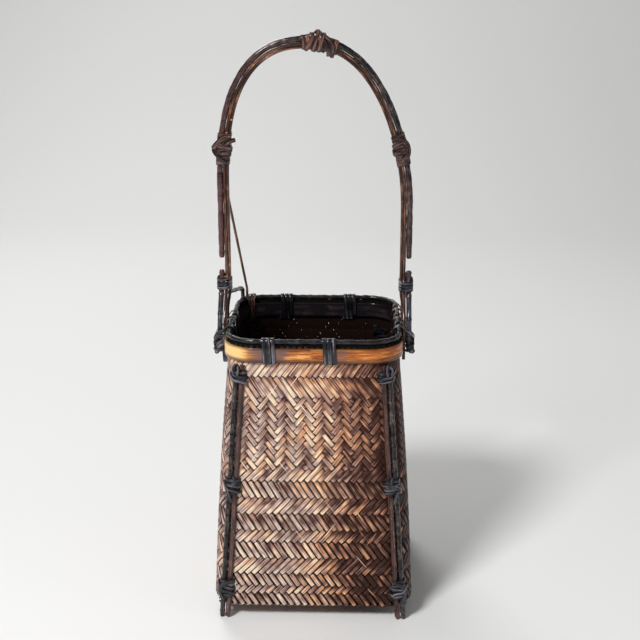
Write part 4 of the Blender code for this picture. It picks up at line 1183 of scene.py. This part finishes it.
def hull(discs, offset, count=120):
    """The tight loop round some discs: its points, outward directions and shares of its length."""
    u, v, radius = np.array(discs, float).T
    step = 2 * math.pi / count
    angle = np.arange(count) * step
    reach = (np.outer(np.cos(angle), u) + np.outer(np.sin(angle), v) + radius).max(1) + offset
    slide = (np.roll(reach, -1) - reach * math.cos(step)) / math.sin(step)
    corners = np.stack((reach * np.cos(angle) - slide * np.sin(angle),
                        reach * np.sin(angle) + slide * np.cos(angle)), -1)
    out = np.stack((np.cos(angle + step / 2), np.sin(angle + step / 2)), -1)
    closed = np.vstack((corners, corners[:1]))
    lengths = distances(closed)
    return closed, np.vstack((out, out[:1])), lengths / lengths[-1]


def coil(line, discs, turns, pitch, offset, low=None, slant=0.0, start=0.62, lift=0.0, rough=0.0,
         seed=1, steps=30, peak=(0, 0, 1)):
    """Turns of a strip round some discs, climbing along a line; slant carries each turn sideways
    on its way over the top, and peak raises the turns near a place, as height, place, spread."""
    corners, out, shares = hull(discs, offset + lift)
    phase = np.linspace(0, turns, int(turns * steps) + 1)
    share = (start + phase) % 1.0
    u, v = (np.interp(share, shares, corners[:, axis]) for axis in (0, 1))
    nu, nv = (np.interp(share, shares, out[:, axis]) for axis in (0, 1))
    low = -turns * pitch / 2 if low is None else low
    rng = np.random.default_rng(seed)
    w = low + pitch * phase + slant * np.clip(nu * 1.5, -1, 1) + rough * wander(rng, phase, turns, 7)
    spots, axis_u, axis_v = line.at(w)
    u = u + peak[0] * np.exp(-((w - peak[1]) / peak[2]) ** 2) * np.clip(nu, 0, 1)
    points = spots + axis_u * u[:, None] + axis_v * v[:, None]
    return points, unit(axis_u * nu[:, None] + axis_v * nv[:, None])


def wrap(points, outward, width, thick, seed, taper=(0.5, 0.5), **marks):
    """A lashing strip along a path, of slightly changing width and with narrowed ends."""
    rng = np.random.default_rng(int(abs(seed) * 997))
    half = width / 2 * (1 + 0.05 * wander(rng, np.arange(len(points)), 60, 5)).clip(0.85, 1.04)
    half[[0, -1]] *= taper
    return run(points, outward, half, thick / 2, seed=seed % 1, tone=rng.random(), **marks)


def wound(line, discs, turns, pitch, width, tone, shade_inside=False, flat=0.8, **course):
    """A strip wound round some discs. Its tone seeds its streaks, flat is its share of the
    lashings' thickness, and when the flag is set its inward sides get painted shade where it passes through
    the wall or rim."""
    thick = sizes().lash_thick
    points, out = coil(line, discs, turns, pitch, GAP + thick / 2, **course)
    marks = {"depth": out @ line.v} if shade_inside else {}
    return wrap(points, out, width, thick * flat, tone, **marks)


def dress_lashing(node, runs, slot="blue_black_lashing"):
    dress(node + "_skin", runs, slot, node)


def bent(spots, count=8):
    """A smooth curve through some spots given in millimetres."""
    p = np.asarray(spots, float) * MM
    p = np.vstack((2 * p[0] - p[1], p, 2 * p[-1] - p[-2]))
    t = np.arange(count)[:, None] / count
    parts = []
    for a, b, c, d in zip(p, p[1:], p[2:], p[3:]):
        square, cube = a - 2.5 * b + 2 * c - d / 2, 1.5 * (b - c) + (d - a) / 2
        parts.append(b + (c - a) * t / 2 + square * t ** 2 + cube * t ** 3)
    return np.vstack((*parts, p[-2]))


def loose_end(line, spots, width, seed, taper=(0.7, 0.2), face=None, thick=0.6 * MM):
    """A strip end or loop that stands off a knot, through spots u, v, w of its line's frame."""
    u, v, w = bent(spots).T
    middle, axis_u, axis_v = line.at(w)
    points = middle + axis_u * u[:, None] + axis_v * v[:, None]
    return wrap(points, axis_v if face is None else face, width, thick, seed, taper)


def ring(line, centre, radius, seed, face=None, width=1.3 * MM):
    """A small open ring of cord left on a knot."""
    angle = np.linspace(0.3, 5.8, 9)
    u, v, w = centre
    if face is None:
        spots = [(u + radius * math.cos(a), v, w + radius * math.sin(a)) for a in angle]
    else:
        spots = [(u + radius * math.cos(a), v + radius * math.sin(a), w) for a in angle]
    return loose_end(line, spots, width, seed, (0.8, 0.8), face, 1.0 * MM)


def wall_discs(line, half_width, levels):
    """The inner face of the wall near a lashing."""
    discs = []
    turn = np.arange(1200) / 1200
    for level in levels:
        half_x, half_y, corner = wall_size(np.array(level))
        x, y = round_box(half_x - WALL, half_y - WALL, corner - WALL, turn)
        for point in np.stack((x, y, np.full_like(x, level)), -1):
            u, v, _ = line.disc(point)
            if abs(u) <= half_width and abs(v) <= half_width:
                discs.append((u, v, 0))
    return discs


# Turns of the lashings of a post, the height of each turn, the level of the bottom one, the place
# of the middle one between the others, and how far the top one sits under the post's head
POST_LASHES = (("top", 3), ("middle", 4), ("bottom", 5))
POST_PITCH = 3.6 * MM
POST_LASH_LOW = 31 * MM
POST_LASH_MIDDLE = 0.495
POST_LASH_DROP = 11 * MM


def post_lash_line(side, face, level, reach):
    """The line of a post lashing and the discs it goes round."""
    here, _, out = post_places(side, face, level, 0, -GAP)
    low, high = (post_places(side, face, level + way * reach, 0, -GAP) for way in (-1, 1))
    rise = unit(high[0] - low[0])
    across = unit(np.cross(out, rise))
    line = Line(here, across, np.cross(rise, across), rise)
    radius = POST_CANE / 2 + CANE_SWELL
    width, thick = POST_STRIP
    discs = []
    for spot, along, outward in (low, high):
        discs.append(line.disc(spot + along * (GAP / 2 + radius) + outward * (GAP + radius), radius))
        for inset in (0, width):
            corner = spot - along * (GAP / 2 + inset)
            discs += [line.disc(corner + outward * (GAP + thick)), line.disc(corner + outward * GAP)]
    wide = max(abs(u) + r for u, v, r in discs)
    discs += wall_discs(line, wide + GAP + sizes().lash_thick, (level - reach, level + reach))
    discs = [(min(wide, max(-wide, u)), v, r if abs(u) + r <= wide else 0) for u, v, r in discs]
    deep = min(v for u, v, r in discs)
    return line, discs + [(-wide, deep, 0), (wide, deep, 0)]


def post_knot_ends(line, discs, label, side, seed):
    """Crossing turn, loose ends and rings of a post lashing."""
    rng = np.random.default_rng(seed + 40)
    cover = max(v + r for _, v, r in discs) / MM + 2.2
    flip = rng.choice((-1, 1))
    runs = [wound(line, discs, 0.95, 0.0, 2.8 * MM, seed * 0.191, True, lift=sizes().lash_thick * 2.1,
                  low=rng.uniform(-2, 2) * MM, start=0.8, slant=flip * rng.uniform(3, 5) * MM, seed=seed + 5)]

    def add(spots, width, tone, taper):
        runs.append(loose_end(line, spots, width * MM, tone, taper))

    if label == "top":
        for way in (-1, 1):
            add([(way * 2, cover, 2), (way * 3, cover + 0.5, 7), (way * 1, cover - 1, 11.5 + way)],
                2.6, seed * 0.21 + way, (0.8, 0.15))
    elif label == "middle":
        lean = side * flip
        add([(lean * 3, cover, 2), (lean * 6, cover + 0.6, 6), (lean * 4, cover, 12.5)],
            4.2, seed * 0.21, (0.6, 0.1))
        add([(-lean * 2, cover, -4), (lean * 1, cover + 0.4, -9), (lean * 3, cover - 1, -15)],
            3.2, seed * 0.27, (0.9, 0.1))
        runs.append(ring(line, (-lean * 2.5, cover - 0.5, -9.5), 2.6, seed * 0.31))
    else:
        add([(-flip * 4, cover, 8), (flip * 1, cover + 0.5, 4), (flip * 4, cover, -3), (0, cover, -11)],
            3.4, seed * 0.21, (0.6, 0.4))
        runs.append(ring(line, (flip * 2.5, cover - 1, -12), 2.2, seed * 0.31))
    return runs


class BASKET_OT_post_lashings(BasketStep, bpy.types.Operator):
    """Wind three lashings round every corner post"""
    bl_idname = "basket.post_lashings"
    bl_label = "Post lashings"

    def build(self):
        top = heights()[2] - POST_LASH_DROP
        levels = (top, POST_LASH_LOW + (top - POST_LASH_LOW) * POST_LASH_MIDDLE, POST_LASH_LOW)
        for number, (side, face, post) in enumerate(CORNERS):
            for level, (label, turns) in zip(levels, POST_LASHES):
                height = POST_PITCH * turns
                line, discs = post_lash_line(side, face, level, (height + 3 * MM) / 2)
                seed = number * 10 + turns
                runs = [wound(line, discs, turns, POST_PITCH, 3.5 * MM, seed * 0.137, True, seed=seed,
                              rough=0.25 * MM),
                        wound(line, discs, 0.9, -height * 0.5, 3.2 * MM, seed * 0.173, True, seed=seed + 1,
                              lift=sizes().lash_thick, low=height * 0.35, start=0.7)]
                runs += post_knot_ends(line, discs, label, side, seed)
                dress_lashing(f"{post}_lashing_{label}", runs)


def rim_line(side_x, side_y, along):
    """A line along the rim at the middle of the band, with u up and v outward."""
    s = sizes()
    out = np.array((side_x, side_y, 0.0))
    inset = BAND_THICK + GAP
    reach = (s.rim_width if side_x else s.rim_depth) / 2 - inset
    slide = np.array((0, along, 0) if side_x else (along, 0, 0))
    bottom, top, _ = heights()
    return Line(out * reach + slide + UP * (bottom + top) / 2, UP, out, np.cross(UP, out))


def rim_discs():
    """What a tie of the rim goes round: the edges of both bands, and the cane."""
    half = BAND_HEIGHT / 2
    inner = -WALL - GAP - INNER_BAND_THICK
    outer = GAP + BAND_THICK
    bottom, top, _ = heights()
    cane_up = sizes().rim_height - RIM_CANE / 2 - (bottom + top) / 2
    return [(half, inner, 0), (half - INNER_BAND_HEIGHT, inner, 0), (half, outer, 0), (-half, outer, 0),
            (cane_up, -WALL / 2, RIM_CANE / 2)]


def strand_discs(line, side, pieces):
    """Strands of the handle where a tie of the rim crosses them."""
    level = heights()[0]
    discs = []
    for leg, half_out in pieces:
        out, back = leg(np.array(level))
        for rise in (-BAND_DROP, BAND_DROP):
            discs.append(line.disc(np.array((side * out, back, line.origin[2] + rise)), half_out))
    return discs


def rim_knot(line, side):
    """The broad crossing strips, the ring and the hanging tail of a front knot of the rim."""
    front = -BACK
    rng = np.random.default_rng(62 + side)
    runs = []
    for index in range(5):
        drop = index * 3.1
        spots = np.array(((12, -4, 7), (10.5, 3, 9), (6, 9.5, 8.6), (1, 12.6, 4), (1, 10, -2))) - (drop, 0, 0)
        spots = spots + rng.uniform(-1, 1, (5, 3)) * (1.5, 0.5, 0.3)
        runs.append(loose_end(line, spots, 3.8 * MM, 0.13 + index * 0.17 + side, (0.8, 0.6), front, 1.2 * MM))
    spots = [(-9, 11, 7), (-2, 6, 9.6), (6, 2.5, 9.8), (12, 1.5, 7)]
    runs.append(loose_end(line, spots, 3.2 * MM, 0.77 + side, (0.5, 0.7), front))
    if side > 0:
        runs.append(ring(line, (-11, 8, 8), 2.9, 0.4, front))
    else:
        spots = [(-3, 4, 8.6), (-12, 3.6, 9.6), (-20, 3.2, 9)]
        runs.append(loose_end(line, spots, 4.6 * MM, 0.9, (0.8, 0.7), front))
    return runs


# Where along the rim the ties of its front and back are
RIM_TIES = (("front", -1, (-40 * MM, 15 * MM)), ("back", 1, (-32 * MM, 32 * MM)))


class BASKET_OT_rim_ties(BasketStep, bpy.types.Operator):
    """Tie the hoops of the rim, and the strands of the handle to it"""
    bl_idname = "basket.rim_ties"
    bl_label = "Rim ties"

    def build(self):
        for face_name, face, places in RIM_TIES:
            for label, x in zip(("left", "right"), places):
                line = rim_line(0, face, x)
                runs = [wound(line, rim_discs(), 3, 4.1 * MM, 3.8 * MM, 0.37 + x * 7, True,
                              seed=int(100 + x / MM), rough=0.2 * MM)]
                dress_lashing(f"rim_tie_{face_name}_{label}", runs)
        rear_half = ROD_HALF + REAR_PROP_HALF + GAP / 2
        for side, side_name in SIDES:
            for label, along, pieces, half in (
                    ("front", -FRONT_SEAT,
                     [(front_leg, FRONT_STRIP[1] / 2), (front_prop_leg, FRONT_PROP_HALF)], FRONT_PROP_HALF),
                    ("middle", 0, [(middle_leg, MIDDLE_STRIP[1] / 2)], MIDDLE_STRIP[0] / 2),
                    ("rear", REAR_SEAT + ROD_HALF - rear_half,
                     [(rod_leg, ROD_HALF), (rear_prop_leg, REAR_PROP_HALF)], rear_half)):
                slide = half + GAP + 6 * MM
                if side < 0 and label == "rear":
                    line = CornerLine()
                    discs = [(rise, reach, radius + 0.6 * MM) for reach, _, radius in CORNER_STRANDS
                             for rise in (-BAND_DROP, BAND_DROP)]
                    slide /= 2
                else:
                    line = rim_line(side, 0, along)
                    discs = strand_discs(line, side, pieces)
                runs = [wound(line, rim_discs() + discs, 2, 3.4 * MM, 2.6 * MM,
                              0.19 + layer * 0.3 + along * 9, flat=0.7, slant=way * slide,
                              lift=layer * sizes().lash_thick + 0.25 * MM, seed=layer + 7,
                              rough=0.2 * MM, steps=40) for layer, way in enumerate((1, -1))]
                name = f"rim_tie_{side_name}_{label}"
                if label == "front":
                    dress_lashing(name, runs + rim_knot(line, side))
                else:
                    dress_lashing(name, runs, "brown_lashing")


def handle_discs(with_rod):
    """What a binding of the handle goes round: the cane, both strips and the rod where it is there."""
    discs = [(CANE_OUT, 0, HANDLE_CANE / 2 + CANE_SWELL)]
    for out, (width, thick) in ((FRONT_OUT, FRONT_STRIP), (MIDDLE_OUT, MIDDLE_STRIP)):
        for u in (out - thick / 2, out + thick / 2):
            discs += [(u, -width / 2, 0), (u, width / 2, 0)]
    if with_rod:
        out, back = rod_leg(np.array(sizes().rim_height + sizes().arch_clear))
        discs.append((out - handle_half(), -back, ROD_HALF))
    return discs


# Loose ends of the handle's bindings: spots u, v, w in millimetres, width, taper
HANDLE_ENDS = {
    "top": (([(-7, 4.2, -13), (-1, 4.8, -8), (7.5, 3.4, -4), (9.2, 0, -2.5)], 4.6, (0.6, 0.8)),
            ([(-8, 4.0, -5), (0, 4.9, -3), (8.5, 3.0, -1.5)], 4.4, (0.8, 0.7)),
            ([(9, 2.6, -2), (3, 4.9, 4), (-5, 4.6, 10), (-9.5, 3.4, 12)], 4.6, (0.7, 0.8)),
            ([(8, 3.0, 1), (4, 4.8, 9), (-3, 4.6, 14), (-10, 3.0, 15)], 4.0, (0.7, 0.4))),
    "left": (([(-2, 4.6, 12), (3, 4.9, 8.5), (7.5, 4.6, 3), (9.4, 4.2, -0.5)], 4.4, (0.7, 0.45)),
             ([(9.4, 4.2, 0), (7.5, 4.6, -4), (2, 5.0, -9), (-4, 4.4, -13)], 3.4, (0.45, 0.7)),
             ([(-1, 4.6, 4), (-6, 4.8, 8), (-10.5, 4.0, 10)], 4.4, (0.8, 0.6)),
             ([(-8, 4.2, -2), (0, 5.2, 2), (6, 4.4, 4)], 4.0, (0.7, 0.7))),
    "right": (([(0, 4.6, 9), (4.6, 4.9, 6), (6.6, 4.5, 0), (5.5, 4.4, -6), (0, 4.6, -10)], 4.8, (0.6, 0.6)),
              ([(-8, 4.4, 3), (0, 5.2, 0), (7, 4.8, -3)], 3.8, (0.7, 0.7)),
              ([(-7, 4.2, -4), (0, 5.0, -7), (7, 4.2, -8)], 3.6, (0.7, 0.7)))}


def shoulder_distance():
    """How far along the arch the left shoulder binding sits."""
    line = arch_line()
    count = np.argmax(line[:, 2] > sizes().rim_height + SHOULDER)
    return path_length(line[:count])


class BASKET_OT_bindings(BasketStep, bpy.types.Operator):
    """Bind the handle at its top and shoulders, and the props to its legs"""
    bl_idname = "basket.bindings"
    bl_label = "Handle bindings"

    def build(self):
        total = path_length(arch_line())
        shoulder = shoulder_distance()
        for label, middle, turns, rod in (("top", total / 2 + TOP_SHIFT, 8, False),
                                          ("left", shoulder, 7, True), ("right", total - shoulder, 7, True)):
            line, discs = ArchLine(middle), handle_discs(rod)
            peak = (3.4 * MM, -3 * MM, 6 * MM) if label == "top" else (0, 0, 1)
            runs = [wound(line, discs, turns, 4.1 * MM, 4.5 * MM, middle * 3, seed=turns, rough=0.2 * MM,
                          peak=peak)]
            runs += [loose_end(line, spots, width * MM, 0.3 + number / 5 + middle, taper)
                     for number, (spots, width, taper) in enumerate(HANDLE_ENDS[label])]
            runs += [wound(line, discs, 1.6, (6 - 11 * layer) * MM, 3.6 * MM, 0.2 + layer / 3 + middle,
                           lift=sizes().lash_thick * (layer + 1), low=(-5 + 10 * layer) * MM,
                           seed=turns + layer, start=0.3 + layer / 4, peak=peak) for layer in range(2)]
            dress_lashing("handle_binding_" + label, runs, "brown_lashing")
        level = sizes().rim_height + PROP_BINDING
        for side, side_name in SIDES:
            outward = RIGHT * side
            line = Line((side * handle_half(), 0, level), np.cross(outward, UP), outward, UP)
            discs = []
            for height in (level - 8 * MM, level + 8 * MM):
                for leg, half_out, half_back in (
                        (front_leg, FRONT_STRIP[1] / 2, FRONT_STRIP[0] / 2),
                        (middle_leg, MIDDLE_STRIP[1] / 2, MIDDLE_STRIP[0] / 2),
                        (front_prop_leg, FRONT_PROP_HALF, 0), (rear_prop_leg, REAR_PROP_HALF, 0)):
                    out, back = leg(np.array(height))
                    centre = np.array((side * out, back, height))
                    if half_back:
                        discs += [line.disc(centre + (x, y, 0)) for x in (-half_out, half_out)
                                  for y in (-half_back, half_back)]
                    else:
                        discs.append(line.disc(centre, half_out))
            dress_lashing("prop_binding_" + side_name,
                          [wound(line, discs, 3, 3.6 * MM, 3.6 * MM, 0.4 + side / 9, seed=9 + side,
                                 rough=0.3 * MM, steps=40)])


# Water tube

# The thickness of the floor it stands on, its wall, the swelling of its nodes and their places as
# shares of its height; the outline of a node as millimetres above its middle and share of the
# swelling; the height of its inner bottom and the rounding of that bottom, of its foot and its rim
TUBE_SEAT = 3 * MM
TUBE_WALL = 4 * MM
TUBE_SWELL = 1.2 * MM
TUBE_NODES = (0.05, 0.55)
NODE_OUTLINE = ((-3, 0), (-1.2, 0.35), (-0.4, 1.0), (0.3, 0.7), (0.8, 0.95), (1.8, 0.3), (3, 0))
TUBE_BOTTOM = 7 * MM
TUBE_ROUND = 2 * MM
TUBE_FOOT = 1 * MM
TUBE_RIM = (0.6 * MM, 0.5 * MM)


def tube_finish():
    """Old bamboo: long fibres, cloudy patches and dark stains."""
    f = Finish("tube_bamboo")
    x, y, z = f.split(f.place())
    fibres = f.noise(f.vector(x * 900, y * 900, z * 14), 1.0, 4)
    clouds = f.noise(f.place(), 35, 4)
    body = f.mix(fibres.step(0.3, 0.7) * 0.6 + clouds.step(0.4, 0.7) * 0.4, tint("tube"), (0.27, 0.15, 0.065))
    stains = f.noise(f.vector(x * 60, y * 60, z * 9), 1.0, 4, 0.65)
    body = f.mix(stains.step(0.50, 0.66) * 0.7, body, (0.028, 0.014, 0.009))
    return f.done(Base_Color=body, Roughness=0.4 + fibres * 0.2, Coat_Weight=0.2,
                  Normal=f.bump(fibres, 0.2 * MM))


class BASKET_OT_tube(BasketStep, bpy.types.Operator):
    """Turn the bamboo water tube with its two nodes"""
    bl_idname = "basket.tube"
    bl_label = "Water tube"

    def build(self):
        s = sizes()
        top, base = s.tube_height, s.base_height + TUBE_SEAT + GAP
        skin = s.tube_width / 2 - TUBE_SWELL
        bore = skin - TUBE_WALL
        profile = [(0.0, 0.0), (skin - TUBE_FOOT, 0.0), (skin, TUBE_FOOT)]
        for share in TUBE_NODES:
            profile += [(skin + swell * TUBE_SWELL, top * share + off * MM) for off, swell in NODE_OUTLINE]
        outer, inner = TUBE_RIM
        profile += [(skin, top - outer), (skin - outer, top), (bore + inner, top), (bore, top - inner),
                    (bore, TUBE_BOTTOM + TUBE_ROUND), (bore - TUBE_ROUND, TUBE_BOTTOM), (0.0, TUBE_BOTTOM)]
        bm = bmesh.new()
        verts = [bm.verts.new((x, 0, z + base)) for x, z in profile]
        for a, b in zip(verts, verts[1:]):
            bm.edges.new((a, b))
        bmesh.ops.spin(bm, geom=bm.verts[:] + bm.edges[:], cent=(0, 0, 0), axis=(0, 0, 1),
                       angle=2 * math.pi, steps=96, use_merge=True)
        bmesh.ops.remove_doubles(bm, verts=bm.verts, dist=0.02 * MM)
        bmesh.ops.recalc_face_normals(bm, faces=bm.faces)
        mesh = bpy.data.meshes.new("tube_skin")
        bm.to_mesh(mesh)
        bm.free()
        mesh.materials.append(tube_finish())
        mesh.shade_smooth()
        mesh.set_sharp_from_angle(angle=math.radians(40))
        place("tube_skin", mesh, "tube_bamboo", "water_tube", body="water_tube")


# Stage

# The sheet under and behind the basket, in metres: its half width, its near edge, where it bends
# up and the radius of the bend, and its height; then its tone
SHEET_HALF = 4.0
SHEET_NEAR = -3.0
SHEET_BEND = 1.6
SHEET_ROUND = 0.8
SHEET_TOP = 4.0
SHEET_TONE = 0.86
# Lamps as place, aim, size and power, and the strength of the light from all round
LAMPS = {"key_light": ((-1.0, -1.5, 1.9), (0, 0, 0.2), 0.6, 50),
         "fill_light": ((1.9, -0.8, 1.0), (0, 0, 0.25), 1.2, 3),
         "back_light": ((-0.7, 1.6, 1.8), (0, 0, 0.3), 1.0, 18)}
WORLD_LIGHT = 0.20
# The camera, fitted to the photo: lens and sensor in millimetres, place in metres, and its tilt
# and turn in degrees
LENS = 67.3
SENSOR = 36
CAMERA_PLACE = (0.0353, -1.1014, 0.595)
CAMERA_TILT = 73.5
CAMERA_TURN = 1.6


def stage_finish(name, tone):
    f = Finish(name)
    grain = f.noise(f.place(), 300, 2)
    return f.done(Base_Color=f.mix(grain, (tone, tone, tone * 0.985), (tone * 1.02,) * 3), Roughness=0.75,
                  Specular_IOR_Level=0.2)


class BASKET_OT_stage(BasketStep, bpy.types.Operator):
    """Set the pale floor and backdrop, the soft lights and the camera"""
    bl_idname = "basket.stage"
    bl_label = "Stage"

    def build(self):
        scene = bpy.context.scene
        mesh = bpy.data.meshes.new("floor_sweep")
        rows = [(SHEET_NEAR, 0.0), (SHEET_BEND, 0.0)]
        rows += [(SHEET_BEND + SHEET_ROUND * math.sin(angle), SHEET_ROUND - SHEET_ROUND * math.cos(angle))
                 for angle in np.linspace(0.1, math.pi / 2, 14)]
        rows += [(SHEET_BEND + SHEET_ROUND, SHEET_TOP)]
        verts = [(x, y, z) for y, z in rows for x in (-SHEET_HALF, SHEET_HALF)]
        faces = [(2 * i, 2 * i + 1, 2 * i + 3, 2 * i + 2) for i in range(len(rows) - 1)]
        mesh.from_pydata(verts, [], faces)
        mesh.materials.append(stage_finish("pale_stage", SHEET_TONE))
        mesh.shade_smooth()
        sweep = bpy.data.objects.new("floor_sweep", mesh)
        scene.collection.objects.link(sweep)
        world = bpy.data.worlds.new("studio")
        scene.world = world
        world.use_nodes = True
        background = world.node_tree.nodes["Background"]
        background.inputs["Color"].default_value = (1, 1, 1, 1)
        background.inputs["Strength"].default_value = WORLD_LIGHT
        for name, (spot, aim, size, power) in LAMPS.items():
            light = bpy.data.lights.new(name, "AREA")
            light.shape = "DISK"
            light.size = size
            light.energy = power
            lamp = bpy.data.objects.new(name, light)
            lamp.location = spot
            lamp.rotation_euler = (Vector(spot) - Vector(aim)).to_track_quat("Z", "Y").to_euler()
            scene.collection.objects.link(lamp)
        camera = bpy.data.cameras.new("camera")
        camera.lens = LENS
        camera.sensor_width = SENSOR
        view = bpy.data.objects.new("camera", camera)
        view.location = CAMERA_PLACE
        view.rotation_euler = Euler((math.radians(CAMERA_TILT), 0, math.radians(CAMERA_TURN)))
        scene.collection.objects.link(view)
        scene.camera = view
        scene.view_settings.view_transform = "Standard"


class BASKET_PT_panel(bpy.types.Panel):
    """Builds the basket step by step"""
    bl_idname = "BASKET_PT_panel"
    bl_label = "Ikebana Basket"
    bl_space_type = "VIEW_3D"
    bl_region_type = "UI"
    bl_category = "Basket"

    def draw(self, context):
        for group in (context.scene.basket_sizes, context.scene.basket_colours):
            box = self.layout.box()
            for key in group.__annotations__:
                box.prop(group, key)
        for step in STEPS:
            self.layout.operator(step.bl_idname)


STEPS = (BASKET_OT_wall, BASKET_OT_floor, BASKET_OT_posts, BASKET_OT_rim, BASKET_OT_handle,
         BASKET_OT_props, BASKET_OT_post_lashings, BASKET_OT_rim_ties, BASKET_OT_bindings,
         BASKET_OT_tube, BASKET_OT_stage)
CLASSES = (BasketSizes, BasketColours, *STEPS, BASKET_PT_panel)


def register():
    for item in CLASSES:
        bpy.utils.register_class(item)
    bpy.types.Scene.basket_sizes = PointerProperty(type=BasketSizes)
    bpy.types.Scene.basket_colours = PointerProperty(type=BasketColours)


def unregister():
    del bpy.types.Scene.basket_colours
    del bpy.types.Scene.basket_sizes
    for item in reversed(CLASSES):
        bpy.utils.unregister_class(item)


def main():
    register()
    for step in STEPS:
        group, name = step.bl_idname.split(".")
        getattr(getattr(bpy.ops, group), name)()


if __name__ == "__main__":
    main()
